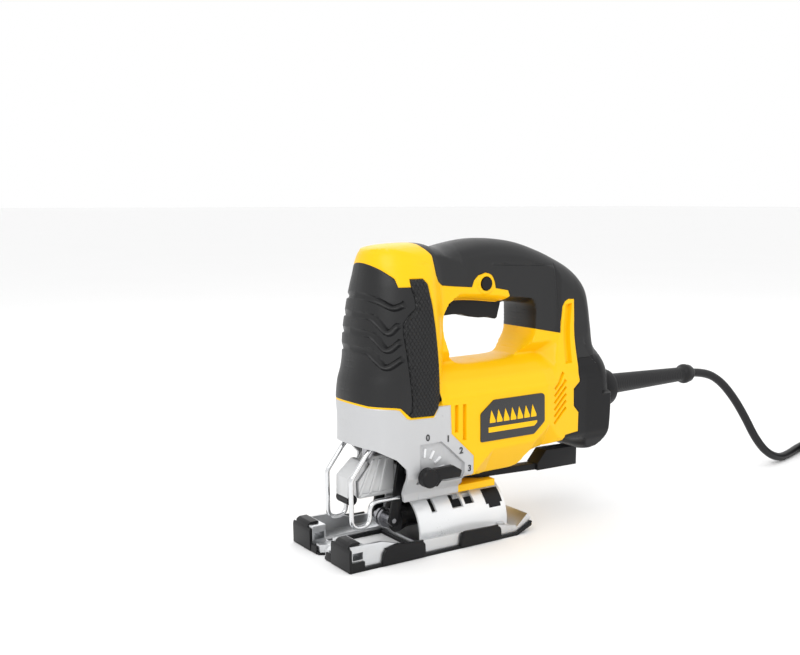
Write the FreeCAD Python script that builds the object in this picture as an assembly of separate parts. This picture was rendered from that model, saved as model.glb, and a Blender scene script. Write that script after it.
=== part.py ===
import FreeCAD, Part
import math
import os

V = FreeCAD.Vector

# ---------------------------------------------------------------------------
# Corded jigsaw. Millimetres. While it is drawn, x runs back from the shoe's
# front edge, y = 0 is the middle plane (the blade's plane) and z = 0 is the
# underside of the shoe. keep() then moves every piece so that the origin is
# under the middle of the tool.
# ---------------------------------------------------------------------------

# overall sizes
tool_length = 253.0        # shoe front edge to the end of the cord boss
tool_height = 205.5        # underside of the shoe to the top of the handle
body_half = 34.0           # half width of the motor housing
grip_half = 33.0           # half width of the nose grip
handle_half = 19.0         # half width of the top handle
rear_half = 27.0           # half width of the rear cap
handle_round = 7.0         # rounding along the top of the handle

# skins and general clearances
wall = 2.6                 # housing wall
skin = 1.8                 # soft overmould
run_fit = 0.05             # radial clearance of a shaft in its bearing
free_gap = 0.5             # clearance between pieces that move past each other

# shoe
shoe_length = 147.0
shoe_width = 78.0
cover_floor = 2.0          # thickness of the plastic overshoe under the plate
cover_side = 1.6           # thickness of the overshoe's side tabs
plate_thick = 3.0
rim_thick = 2.2            # side rims of the plate
bar_height = 17.0          # front cross bar
bar_depth = 10.0
rim_front_height = 16.5
rim_rear_height = 9.8
rear_kick = 11.0           # length of the turned-up rear
kick_rise = 9.0
window_half = 22.0         # half width of the blade window
window_front = 13.5        # front edge of the blade window
window_end = 60.0
tongue_half = 9.0          # notched tongue in the middle of the front bar
fence_slot_w = 7.9
fence_slot_h = 4.8
fence_slot_x = 1.4
fence_slot_z = 7.6

# bevel joint: the saddle of the shoe turns on the foot of the tool
tilt_axis_z = 9.0
saddle_r = 28.0            # outside radius of the pressed saddle
saddle_thick = 2.0
saddle_front = 60.0
saddle_length = 73.0
bevel_limit = 45.0         # degrees each way
foot_bottom = 34.0
foot_top = 39.0
foot_half = 22.6
foot_front = 62.0
foot_rear = 126.0
bolt_x = 104.0
bolt_r = 3.0
lever_gap = 0.6            # room over and under the bevel lever
lever_thick = 4.4
lever_reach = 96.0         # bolt to the far end of the paddle
paddle_length = 37.0
paddle_top = 53.5

# gear train: drive gear above the armature, both turning about x
module = 1.25
gear_teeth = 36
pinion_teeth = 9
tooth_out = 0.75           # tooth height outside the pitch circle, in modules
tooth_in = 1.0             # tooth depth inside the pitch circle, in modules
gear_width = 8.0
motor_z = 88.0
stroke = 20.0
gear_front = 56.0
crank_pin_r = 3.0
stud_r = 4.0

# plunger, drawn at the middle of its stroke
plunger_x = 38.0
plunger_r = 5.0
plunger_top = 156.0
bush_wall = 2.5
yoke_thick = 8.0
yoke_front = 40.0
socket_r = 4.0
socket_depth = 15.0
clamp_half = 9.0
clamp_bottom = 38.0
clamp_top = 65.0
clamp_lever_half = 7.5
clamp_hinge = (30.0, 59.0)  # hinge of the clamp's lever, x and z
clamp_hub_r = 3.2

# gear frame: an upright plate with two shelves
frame_front = 68.0
frame_thick = 6.0
frame_half = 21.0
shelf_z = (76.0, 80.5)
top_shelf_z = (141.0, 147.0)

# roller behind the blade
roller_x = 49.0
roller_z = 19.0
roller_r = 6.5
fork_pivot = (58.0, 65.0)
fork_inner = 9.7
fork_thick = 2.5

# chip tube
nozzle_x = 56.0
nozzle_r = 11.5
chip_tube_r = 9.0
chip_z = 18.5

# wire guard
wire_r = 1.6
wire_y = 16.0

# motor
armature_r = 17.0
shaft_r = 4.0
core_front = 104.0
core_length = 42.0
air_gap = 0.8
stator_r = 26.0
coil_overhang = 7.0
commutator_r = 11.0
commutator_front = 160.0
commutator_length = 16.0
brush_half = 3.0
fan_r = 24.0
fan_front = 80.0
fan_width = 10.0
bearing_width = 7.0
front_bearing_r = 11.0
rear_bearing_r = 9.5
rear_bearing_x = 188.0

# trigger, lock-on button
trigger_half = 7.0
trigger_pivot = (97.0, 162.0)
button_centre = (119.4, 175.5)
button_r = 4.3

# orbital selector
selector_pivot = (60.0, 53.6)
selector_r = 3.0

# cord
cord_d = 7.0
relief_r0 = 7.7
relief_r1 = 5.8
collar_r = 7.9
collar_length = 14.0
relief_length = 96.0
cord_z = 90.0
coil_centre = (548.0, -36.0)
coil_mid = 38.5            # radius of the middle turn
coil_columns = 3
coil_layers = 2            # full layers of turns
coil_top_columns = 2       # turns of the top layer, which leaves the inner column free
tail_r = 31.2              # bend with which the plug end turns back over the coil
tail_angle = 60.0          # where on the coil it leaves the last turn
tail_turn = 150.0          # how far round that bend goes
plug_r = 13.0
plug_sleeve = 22.0
plug_body = 34.0
pin_r = 2.4
pin_length = 19.0
pin_spacing = 19.0

# worked out from the sizes above
relief_end = tool_length + relief_length
X_SHIFT = -tool_length / 2
gear_r = module * gear_teeth / 2
pinion_r = module * pinion_teeth / 2
gear_z = motor_z + gear_r + pinion_r
crank_r = stroke / 2
saddle_top = tilt_axis_z + saddle_r
lever_z = foot_top + lever_gap
housing_bottom = lever_z + lever_thick + lever_gap

# middle line of one wire of the guard, x and z
GUARD_PATH = [(31.5, 78.0), (25.6, 68.4), (14.2, 53.4), (14.2, 25.5), (16.4, 20.8), (20.6, 19.4),
              (25.2, 21.2), (27.6, 25.6), (28.4, 33.0), (32.6, 36.4), (49.9, 36.4)]

# corners of the cord's free run, from the strain relief to the coil
CORD_ROUTE = [(relief_end, 0.0, cord_z), (366.0, 0.0, 88.8), (382.5, -2.5, 80.5), (397.0, -6.0, 65.0),
              (409.5, -9.5, 46.5), (421.0, -12.0, 27.5), (436.0, -13.5, 12.0), (456.0, -12.5, 3.55),
              (480.0, -6.0, 3.5), (503.0, 3.0, 3.5), (526.0, 9.5, 3.5), (548.0, 9.5, 3.5)]

os.makedirs("parts", exist_ok=True)
made = {}


# ---------------------------------------------------------------------------
# small helpers
# ---------------------------------------------------------------------------
def keep(name, *solids):
    """Move the solids of one sub-part into the row frame and write them."""
    shapes = [s for whole in solids for s in whole.Solids]
    shape = shapes[0] if len(shapes) == 1 else Part.makeCompound(shapes)
    shape = shape.copy()
    shape.translate(V(X_SHIFT, 0, 0))
    made[name] = shape
    shape.exportStep("parts/%s.step" % name)


def box(x0, x1, y0, y1, z0, z1):
    return Part.makeBox(x1 - x0, y1 - y0, z1 - z0, V(x0, y0, z0))


def rod(start, end, radius):
    """Cylinder from one point to another."""
    a, b = V(*start), V(*end)
    return Part.makeCylinder(radius, (b - a).Length, a, b - a)


def tube(start, end, outer, inner):
    return rod(start, end, outer).cut(rod(start, end, inner))


def cone(start, end, r0, r1):
    a, b = V(*start), V(*end)
    return Part.makeCone(r0, r1, (b - a).Length, a, b - a)


def face_of(points):
    return Part.Face(Part.makePolygon(points + [points[0]]))


def side_prism(outline, y0, y1):
    """Outline in x, z swept across y."""
    return face_of([V(x, y0, z) for x, z in outline]).extrude(V(0, y1 - y0, 0))


def end_prism(outline, x0, x1):
    """Outline in y, z swept along x."""
    return face_of([V(x0, y, z) for y, z in outline]).extrude(V(x1 - x0, 0, 0))


def plan_prism(outline, z0, z1):
    """Outline in x, y swept up z."""
    return face_of([V(x, y, z0) for x, y in outline]).extrude(V(0, 0, z1 - z0))


def mirrored(shape):
    return shape.mirror(V(0, 0, 0), V(0, 1, 0))


def both(shape):
    """A shape on the near side and its mirror image on the far side."""
    return [shape, mirrored(shape)]


def fuse(*shapes):
    result = shapes[0]
    for other in shapes[1:]:
        result = result.fuse(other)
    return result.removeSplitter()


# ---------------------------------------------------------------------------
# outer form of the tool. inset 0 is the skin, larger insets are its inside.
# ---------------------------------------------------------------------------
# height, front, back, half width, top to bottom down the nose
NOSE_LEVELS = [(foot_bottom, 21.0, 92.0, foot_half), (40.0, 19.0, 95.0, foot_half + 1.0),
               (54.0, 18.0, 97.0, grip_half), (100.0, 18.6, 93.0, grip_half),
               (126.0, 23.0, 93.0, grip_half), (160.0, 27.0, 93.0, grip_half - 1.5),
               (186.0, 31.5, 90.0, grip_half - 6.0), (tool_height - 3.5, 42.0, 82.0, 13.0)]


def nose_form(inset):
    wires = []
    last = len(NOSE_LEVELS) - 1
    for i, (z, front, back, half) in enumerate(NOSE_LEVELS):
        level = z + inset if i == 0 else (z - inset if i == last else z)
        a = (back - front) / 2 - inset
        b = half - inset
        middle = (front + back) / 2
        points = []
        for k in range(20):
            t = 2 * math.pi * (k + 0.5) / 20
            c, s = math.cos(t), math.sin(t)
            x = middle + a * math.copysign(abs(c) ** 0.86, c)
            points.append(V(x, b * math.copysign(abs(s) ** 0.86, s), level))
        wires.append(Part.makePolygon(points + [points[0]]))
    return Part.makeLoft(wires, True, True)


def motor_form(inset):
    """Eight-sided barrel over the motor, with its lower rear cut away."""
    h = body_half - inset
    top = 124.0 - inset
    bottom = housing_bottom + inset
    section = [(-h, 66.0), (-h, 104.0), (-h + 6.0, 112.0), (-11.0, top), (11.0, top),
               (h - 6.0, 112.0), (h, 104.0), (h, 66.0), (foot_half, bottom), (-foot_half, bottom)]
    barrel = end_prism(section, 60.0, 200.0 - inset)
    outline = [(60.0, bottom), (146.0, bottom), (156.0 + inset, 55.0 + inset), (200.0, 57.0 + inset),
               (200.0, top), (60.0, top)]
    return barrel.common(side_prism(outline, -60, 60))


def gear_form(inset):
    """Flat-sided gear case behind the arch, narrowing to the foot."""
    h = grip_half - inset
    section = [(-h, 100.0), (h, 100.0), (h, 52.0), (foot_half - inset, 38.0),
               (foot_half - inset, foot_bottom + inset), (inset - foot_half, foot_bottom + inset),
               (inset - foot_half, 38.0), (-h, 52.0)]
    return end_prism(section, 50.0, 97.0 - inset)


def rear_form(inset):
    h = rear_half - inset
    outline = [(176.0 + inset, 57.0 + inset), (203.0, 56.0 + inset), (210.0, 47.0 + inset),
               (219.0, 46.0 + inset),
               (234.0 - inset, 52.0 + inset), (240.0 - inset, 60.0), (240.0 - inset, 104.0),
               (234.0 - inset, 116.0), (224.5 - inset, 127.0), (222.5 - inset, 141.0),
               (176.0 + inset, 141.0)]
    section = [(-h, 57.0), (-h, 112.0), (-handle_half + inset, 141.0), (handle_half - inset, 141.0),
               (h, 112.0), (h, 57.0), (h - 8.0, 46.0 + inset), (-h + 8.0, 46.0 + inset)]
    return side_prism(outline, -60, 60).common(end_prism(section, 170.0, 245.0))


def handle_form(inset):
    """Top handle and rear column: one band round the finger opening."""
    top = tool_height - inset
    upper = [(70.0, 197.0 - inset), (97.0, top - 3.0), (123.0, top), (140.0, top - 1.0),
             (156.0, top - 3.6), (174.0, top - 9.0), (188.0, top - 15.0), (201.0, top - 21.6),
             (210.5 - inset, top - 29.0), (217.0 - inset, 166.0), (220.0 - inset, 155.0),
             (222.5 - inset, 141.0), (224.5 - inset, 127.0)]
    lower = [(224.5 - inset, 112.0), (176.0 + inset, 112.0), (175.5 + inset, 139.5),
             (174.5 + inset, 158.0 + inset), (163.0, 160.0 + inset), (128.0, 162.0 + inset),
             (104.0, 163.5 + inset), (70.0, 163.5 + inset)]
    band = side_prism(upper + lower, -handle_half + inset, handle_half - inset)
    edges = [e for e in band.Edges if is_top_edge(e, handle_half - inset)]
    return band.makeFillet(handle_round - inset, edges)


def is_top_edge(edge, half):
    """The long edges along the top of the handle, where the hand lies."""
    a = edge.Vertexes[0].Point
    b = edge.Vertexes[-1].Point
    level = abs(abs(a.y) - half) < 0.01 and abs(abs(b.y) - half) < 0.01
    same_side = a.y * b.y > 0
    return level and same_side and min(a.z, b.z) > 180.0 and min(a.x, b.x) > 90.0


def boss_form(inset):
    return rod((236.0 - inset, 0, 87.0), (tool_length - inset, 0, 87.0), 14.0 - inset)


def whole_form(inset):
    body = nose_form(inset)
    for piece in (gear_form(inset), motor_form(inset), rear_form(inset), handle_form(inset),
                  boss_form(inset)):
        body = body.fuse(piece)
    return body.removeSplitter()


# ---------------------------------------------------------------------------
# openings in the shells
# ---------------------------------------------------------------------------
def arch_cavity():
    """Open space round the blade clamp, under the nose."""
    outline = [(0.0, 20.0), (50.0, 20.0), (48.5, 45.0), (46.8, 59.0), (39.6, 66.4),
               (28.2, 72.5), (18.4, 75.0), (0.0, 78.0)]
    return side_prism(outline, -60, 60)


def lever_slot():
    """Room under the housing for the bevel lever to swing."""
    return box(94.0, 240.0, -60, 60, foot_top, housing_bottom)


def saddle_relief():
    start = (0.0, 0.0, tilt_axis_z)
    return rod(start, (160.0, 0.0, tilt_axis_z), saddle_r + free_gap)


def fork_window():
    """Way through the bottom of the gear case for the roller fork."""
    return box(48.0, foot_front, -fork_inner - fork_thick - 2.0, fork_inner + fork_thick + 2.0,
               foot_bottom - 4.0, 56.0)


def nut_pocket():
    return rod((bolt_x, 0, housing_bottom - 1.0), (bolt_x, 0, housing_bottom + 8.0), 7.2)


SELECTOR_RECESS = [(56.5, 74.5), (73.6, 74.8), (91.6, 58.0), (91.6, 46.5), (56.5, 46.5)]
recess_depth = 1.6


def selector_recess():
    return side_prism(SELECTOR_RECESS, -60, -grip_half + recess_depth)


def selector_hole():
    x, z = selector_pivot
    return rod((x, -60, z), (x, 0, z), selector_r + run_fit)


# housing screws go in from the right: x, z, height of the head's seat
HOUSING_SCREWS = [(98.0, 58.0, 28.0), (158.5, 66.0, 30.0), (184.0, 114.0, 20.0),
                  (206.0, 152.0, 14.0), (150.0, 188.0, 14.0), (62.0, 190.0, 16.0)]
GEAR_COVER_SCREWS = [(77.4, 92.0, 28.0), (77.4, 66.0, 28.0), (36.0, 90.0, 18.0)]
screw_head_r = 3.2
screw_shank_r = 1.7


def screw_holes():
    tools = [rod((x, seat, z), (x, 60, z), screw_head_r + run_fit)
             for x, z, seat in HOUSING_SCREWS + GEAR_COVER_SCREWS]
    tools += [rod((x, 0, z), (x, seat, z), screw_shank_r + run_fit)
              for x, z, seat in HOUSING_SCREWS + GEAR_COVER_SCREWS]
    return Part.makeCompound(tools)


def trigger_slot():
    return box(90.0, 143.0, -trigger_half - free_gap, trigger_half + free_gap, 140.0, 170.0)


def button_hole(radius):
    x, z = button_centre
    return rod((x, -60, z), (x, 0, z), radius)


# side outlines (x, z) of the regions that the skin is divided into
GEAR_COVER = [(0.0, 20.0), (94.0, 20.0), (94.0, 42.0), (99.3, 49.5), (99.3, 61.0), (80.5, 79.0),
              (80.5, 98.8), (72.5, 98.8), (67.9, 91.8), (49.6, 92.8), (42.0, 99.4), (25.0, 100.5),
              (0.0, 103.0)]
NOSE_GRIP = [(0.0, 103.6), (25.0, 101.1), (42.3, 100.0), (48.0, 95.0), (51.0, 124.0),
             (46.0, 154.0), (52.3, 181.6), (44.4, 182.5), (33.0, 195.0), (0.0, 199.0)]
SIDE_PAD = [(48.2, 94.7), (49.9, 93.3), (67.7, 92.4), (74.3, 101.5), (73.9, 117.0), (70.4, 147.3),
            (66.0, 178.2), (63.0, 181.6), (52.6, 181.6), (46.4, 154.0), (51.4, 124.0)]
HANDLE_GRIP = [(72.0, 240.0), (73.5, 196.0), (75.8, 183.0), (82.6, 176.0), (108.2, 173.5),
               (113.0, 181.0), (119.4, 183.0), (126.8, 178.0), (128.5, 172.0), (139.3, 170.0),
               (141.0, 166.0), (132.7, 158.0), (159.3, 150.0), (159.3, 142.8), (183.0, 137.5),
               (183.0, 160.0), (188.0, 163.5), (193.0, 162.0), (196.5, 118.0), (240.0, 118.0),
               (240.0, 240.0)]
REAR_CAP = [(196.5, 117.6), (195.3, 102.2), (189.3, 96.5), (189.7, 84.3), (196.0, 78.4),
            (195.3, 65.3), (181.0, 65.0), (176.0, 57.0), (176.0, 30.0), (270.0, 30.0),
            (270.0, 117.6)]


def region(outline):
    return side_prism(outline, -60, 60)


def halves(shape):
    """Left (near, -y) and right halves, with a hair line between them."""
    left = shape.common(box(-10, 400, -80, -0.02, -10, 250))
    right = shape.common(box(-10, 400, 0.02, 80, -10, 250))
    return left, right


def biggest(shape):
    return max(shape.Solids, key=lambda s: s.Volume)


# ---------------------------------------------------------------------------
# shells
# ---------------------------------------------------------------------------
def make_shells():
    outer = whole_form(0.0)
    under_skin = whole_form(skin)
    inner = whole_form(skin + wall)
    for hollow in (arch_cavity(), fork_window(), saddle_relief(), trigger_slot(), lever_slot(),
                   foot_solid(), nut_pocket(), selector_recess(), selector_hole(), screw_holes()):
        outer = outer.cut(hollow)

    shell = outer.cut(inner)
    soft = outer.cut(under_skin)
    cover = shell.common(region(GEAR_COVER))
    cap = shell.common(region(REAR_CAP)).cut(relief_hole())
    rest = shell.cut(region(GEAR_COVER)).cut(region(REAR_CAP))
    nose = soft.common(region(NOSE_GRIP))
    pads = soft.common(region(SIDE_PAD))
    grip = soft.common(region(HANDLE_GRIP)).cut(button_hole(button_r + 2.4))
    rest = rest.cut(nose).cut(pads).cut(grip).cut(button_hole(button_r + free_gap))
    keep("side_pads", *[biggest(half) for half in halves(pads)])
    for name, shape in (("housing", rest), ("nose_grip", nose), ("handle_grip", grip),
                        ("gear_cover", cover)):
        left, right = halves(shape)
        keep("left_" + name, biggest(left))
        keep("right_" + name, biggest(right))
    keep("rear_cap", biggest(cap))


def relief_hole():
    return rod((230.0, 0, cord_z), (260.0, 0, cord_z), relief_r0 + 0.02)


def foot_solid():
    """Flat cast foot that the shoe's saddle is clamped against."""
    plate = box(foot_front, foot_rear, -foot_half, foot_half, foot_bottom, foot_top)
    post = box(foot_front + 4.0, 92.0, -15.0, 15.0, foot_top, housing_bottom + 6.0)
    foot = plate.fuse(post).cut(saddle_relief())
    return foot.cut(rod((bolt_x, 0, 0), (bolt_x, 0, 60), bolt_r))


# ---------------------------------------------------------------------------
# frame, plunger and blade clamp
# ---------------------------------------------------------------------------
def make_frame():
    x0, x1 = frame_front, frame_front + frame_thick
    plate = box(x0, x1, -frame_half, frame_half, shelf_z[0] - 12.0, 152.0)
    front = plunger_x - 11.0
    low = plan_prism([(front, -13.0), (front + 4.0, -19.0), (x0, -19.0), (x0, 19.0),
                      (front + 4.0, 19.0), (front, 13.0)], *shelf_z)
    high = box(plunger_x - 4.0, x0, -14.0, 14.0, *top_shelf_z)
    px, pz = fork_pivot
    ear = box(px - 4.0, x0, fork_inner + fork_thick + free_gap + 0.3, 16.0, pz - 4.5, shelf_z[0])
    frame = plate.fuse(low).fuse(high).fuse(ear).fuse(mirrored(ear))
    for z0, z1 in (shelf_z, top_shelf_z):
        frame = frame.cut(rod((plunger_x, 0, z0 - 1), (plunger_x, 0, z1 + 1), plunger_r + bush_wall))
    frame = frame.cut(rod((x0 - 1, 0, motor_z), (x1 + 1, 0, motor_z), front_bearing_r))
    frame = frame.cut(rod((x0 - 1, 0, gear_z), (x1 + 1, 0, gear_z), stud_r))
    frame = frame.cut(rod((px, -20, pz), (px, 20, pz), 2.0 + run_fit))
    keep("gear_frame", frame)
    bush_r = plunger_r + bush_wall
    bushes = [tube((plunger_x, 0, z0), (plunger_x, 0, z1), bush_r, plunger_r + run_fit)
              for z0, z1 in ((shelf_z[0] - 0.5, shelf_z[1] + 5.5), (top_shelf_z[0] - 3.0, top_shelf_z[1]))]
    keep("plunger_bushes", *bushes)
    keep("gear_stud", rod((gear_front - 2.0, 0, gear_z), (x1 + 2.0, 0, gear_z), stud_r))
    keep("foot", foot_solid())


def make_plunger():
    shaft = rod((plunger_x, 0, clamp_bottom + socket_depth + 3.0), (plunger_x, 0, plunger_top), plunger_r)
    z = gear_z
    yoke = box(yoke_front, yoke_front + yoke_thick, -17.5, 17.5, z - 8.0, z + 8.0)
    slot_half = crank_r + crank_pin_r + free_gap
    slot = box(yoke_front + 3.0, yoke_front + yoke_thick + 1.0, -slot_half, slot_half,
               z - crank_pin_r - 0.4, z + crank_pin_r + 0.4)
    keep("plunger", shaft.fuse(yoke).cut(slot))

    b = clamp_bottom
    outline = [(24.3, b), (51.0, b), (51.0, clamp_top), (37.0, clamp_top), (24.0, b + 11.0)]
    block = side_prism(outline, -clamp_half, clamp_half)
    block = block.cut(rod((plunger_x, 0, b - 1.0), (plunger_x, 0, b + socket_depth), socket_r))
    block = block.cut(rod((plunger_x, 0, b + socket_depth + 3.0), (plunger_x, 0, 90), plunger_r))
    hx, hz = clamp_hinge
    reach = clamp_lever_half + free_gap
    block = block.cut(rod((hx, -reach, hz), (hx, reach, hz), clamp_hub_r + free_gap))
    keep("blade_clamp", block)
    spring = tube((hx, -4.0, hz), (hx, 4.0, hz), 2.4, 1.5)
    keep("clamp_spring", spring.cut(block))

    lever = [(27.4, 62.2), (16.4, 52.5), (16.1, 40.0), (17.2, 34.8), (20.0, 33.6), (22.9, 35.2),
             (23.2, 39.0), (22.8, 49.6), (31.6, 57.5), (32.2, 59.0), (31.8, 61.0), (30.4, 62.2)]
    lever_solid = side_prism(lever, -clamp_lever_half, clamp_lever_half)
    room = block.copy()
    room.translate(V(-free_gap, 0, free_gap))
    keep("clamp_lever", biggest(lever_solid.cut(spring).cut(block).cut(room)))


def make_roller():
    rx, rz = roller_x, roller_z
    px, pz = fork_pivot
    arm = side_prism([(rx - 3.6, rz - 1.0), (rx - 1.0, rz - 4.2), (rx + 3.2, rz - 3.4), (px + 3.4, pz - 2.0),
                      (px + 3.0, pz + 3.0), (px - 3.0, pz + 3.0)], fork_inner, fork_inner + fork_thick)
    bridge = box(px - 2.0, px + 3.4, -fork_inner, fork_inner, pz - 3.0, pz + 3.0)
    fork = fuse(arm, mirrored(arm), bridge)
    fork = fork.cut(rod((rx, -20, rz), (rx, 20, rz), 1.6))
    fork = fork.cut(rod((px, -20, pz), (px, 20, pz), 2.0))
    keep("roller_fork", fork)
    reach = fork_inner + fork_thick
    keep("fork_pins", rod((rx, -reach, rz), (rx, reach, rz), 1.6),
         rod((px, -16.0, pz), (px, 16.0, pz), 2.0))
    wheel = tube((rx, -fork_inner + 0.5, rz), (rx, fork_inner - 0.5, rz), 3.4, 1.6 + run_fit)
    rim = tube((rx, -3.0, rz), (rx, 3.0, rz), roller_r, 3.0)
    groove = tube((rx, -0.8, rz), (rx, 0.8, rz), roller_r + 1, roller_r - 1.5)
    keep("roller", wheel.fuse(rim).cut(groove))


# ---------------------------------------------------------------------------
# gears and motor
# ---------------------------------------------------------------------------
def toothed(teeth, first_tooth, x0, x1, z):
    """Spur gear about x. first_tooth is the angle of one tooth's middle, in degrees."""
    pitch_r = module * teeth / 2
    root, tip = pitch_r - tooth_in * module, pitch_r + tooth_out * module
    step = 2 * math.pi / teeth
    foot_w = 0.27 * module * math.pi
    mid_w = 0.215 * module * math.pi
    tip_w = 0.12 * module * math.pi
    points = []
    for k in range(teeth):
        a = math.radians(first_tooth) + k * step
        for r, w in ((root, -foot_w), (pitch_r, -mid_w), (tip, -tip_w), (tip, tip_w),
                     (pitch_r, mid_w), (root, foot_w)):
            t = a + w / r
            points.append((r * math.cos(t), z + r * math.sin(t)))
    return end_prism(points, x0, x1)


def make_gears():
    x0, x1 = gear_front, gear_front + gear_width
    gear = toothed(gear_teeth, -90.0, x0, x1, gear_z)
    gear = gear.cut(rod((x0 - 1, 0, gear_z), (x1 + 1, 0, gear_z), stud_r + run_fit))
    gear = gear.cut(rod((x0, crank_r, gear_z), (x0 + 5.0, crank_r, gear_z), crank_pin_r))
    keep("drive_gear", gear)
    pin_front = yoke_front + yoke_thick + free_gap
    keep("crank_pin", rod((pin_front, crank_r, gear_z), (x0 + 5.0, crank_r, gear_z), crank_pin_r))
    ring = tube((x0 - 3.0, 0, gear_z), (x0, 0, gear_z), 19.0, 8.0)
    weight = ring.common(box(0, 200, -30, -3.0, 0, 300))
    keep("counterweight", weight)

    core_end = core_front + core_length
    commutator_end = commutator_front + commutator_length
    shaft_end = rear_bearing_x + bearing_width + 1.0
    shaft = rod((x0 - 1.0, 0, motor_z), (shaft_end, 0, motor_z), shaft_r)
    pinion = toothed(pinion_teeth, 110.0, x0 - 1.0, x1 + 1.0, motor_z)
    keep("armature_shaft", fuse(shaft, pinion))
    core = rod((core_front, 0, motor_z), (core_end, 0, motor_z), armature_r)
    slots = []
    for k in range(12):
        slot = box(core_front - 1, core_end + 1, -1.0, 1.0, motor_z + armature_r - 5.0,
                   motor_z + armature_r + 1.0)
        slot.rotate(V(0, 0, motor_z), V(1, 0, 0), 30.0 * k)
        slots.append(slot)
    keep("armature_core", core.cut(shaft).cut(Part.makeCompound(slots)))
    ends = [tube((a, 0, motor_z), (b, 0, motor_z), armature_r - 3.0, shaft_r)
            for a, b in ((core_front - 6.0, core_front), (core_end, core_end + 7.0))]
    keep("armature_windings", *ends)
    keep("commutator", tube((commutator_front, 0, motor_z), (commutator_end, 0, motor_z),
                            commutator_r, shaft_r))
    hub = tube((fan_front, 0, motor_z), (fan_front + fan_width, 0, motor_z), 8.0, shaft_r)
    disc = tube((fan_front, 0, motor_z), (fan_front + 1.6, 0, motor_z), fan_r, 6.0)
    blades = []
    for k in range(9):
        blade = box(fan_front, fan_front + fan_width, -0.7, 0.7, motor_z + 7.5, motor_z + fan_r - 0.5)
        blade.rotate(V(0, 0, motor_z), V(1, 0, 0), 40.0 * k)
        blades.append(blade)
    keep("fan", fuse(hub, disc, *blades))


def make_motor():
    inner = armature_r + air_gap
    keep("stator", tube((core_front - 2.0, 0, motor_z), (core_front + core_length + 2.0, 0, motor_z),
                        stator_r, inner))
    ends = [tube((a, 0, motor_z), (a + coil_overhang, 0, motor_z), stator_r - 2.0, inner)
            for a in (core_front - 2.0 - coil_overhang, core_front + core_length + 2.0)]
    keep("field_coils", *ends)
    fx = frame_front
    bx = rear_bearing_x
    keep("motor_bearings", *[tube((a, 0, motor_z), (a + bearing_width, 0, motor_z), r, shaft_r + run_fit)
                             for a, r in ((fx, front_bearing_r), (bx, rear_bearing_r))])
    bracket = box(bx, bx + bearing_width, -26.0, 26.0, motor_z - 13.5, motor_z + 13.5)
    keep("bearing_bracket", bracket.cut(rod((bx - 1, 0, motor_z), (bx + 20, 0, motor_z), rear_bearing_r)))
    x = commutator_front + commutator_length / 2
    reach = commutator_r + 0.4
    brush = box(x - brush_half, x + brush_half, reach, reach + 12.0, motor_z - 4.0, motor_z + 4.0)
    holder = box(x - brush_half - 1.5, x + brush_half + 1.5, reach + 1.5, reach + 15.0, motor_z - 5.5,
                 motor_z + 5.5)
    cavity = box(x - brush_half, x + brush_half, reach, reach + 12.0, motor_z - 4.0, motor_z + 4.0)
    keep("carbon_brushes", *both(brush))
    keep("brush_holders", *both(holder.cut(cavity)))


# ---------------------------------------------------------------------------
# controls
# ---------------------------------------------------------------------------
def make_controls():
    top = 169.5
    outline = [(91.0, 154.0), (101.0, 154.6), (108.0, 154.3), (114.6, 152.2), (122.8, 151.0),
               (131.0, 150.9), (136.5, 149.3), (138.8, 150.2), (141.5, 160.0), (141.5, top),
               (95.0, top), (92.0, 163.0)]
    trigger = side_prism(outline, -trigger_half, trigger_half)
    px, pz = trigger_pivot
    trigger = trigger.cut(rod((px, -20, pz), (px, 20, pz), 1.6))
    keep("trigger", trigger)
    keep("trigger_spring", tube((130.0, 0, top + 0.4), (130.0, 0, 176.6), 3.0, 2.2))
    keep("switch_module", box(102.0, 140.0, -7.0, 7.0, 177.0, 195.0))

    bx, bz = button_centre
    half = handle_half
    button = rod((bx, -half - 2.0, bz), (bx, -12.0, bz), button_r)
    flange_y = -half + skin + wall + 0.4
    button = button.fuse(rod((bx, flange_y, bz), (bx, flange_y + 1.2, bz), button_r + 1.4))
    keep("lock_button", button)
    keep("lock_spring", tube((bx, -11.6, bz), (bx, -7.4, bz), 2.6, 1.8))

    sx, sz = selector_pivot
    y0 = -body_half - free_gap
    pointer = [(sx - 4.0, sz + 4.6), (79.0, 58.9), (85.7, 54.9), (84.2, 50.3), (69.7, 50.6), (66.0, 46.4),
               (sx - 4.4, sz - 4.2)]
    knob = side_prism(pointer, y0 - 5.2, y0)
    shaft = rod((sx, y0, sz), (sx, -13.2, sz), selector_r)
    keep("orbital_lever", knob)
    cam = rod((sx + 1.2, -16.0, sz), (sx + 1.2, -13.2, sz), 4.4)
    keep("orbital_cam", fuse(shaft, cam))


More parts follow.
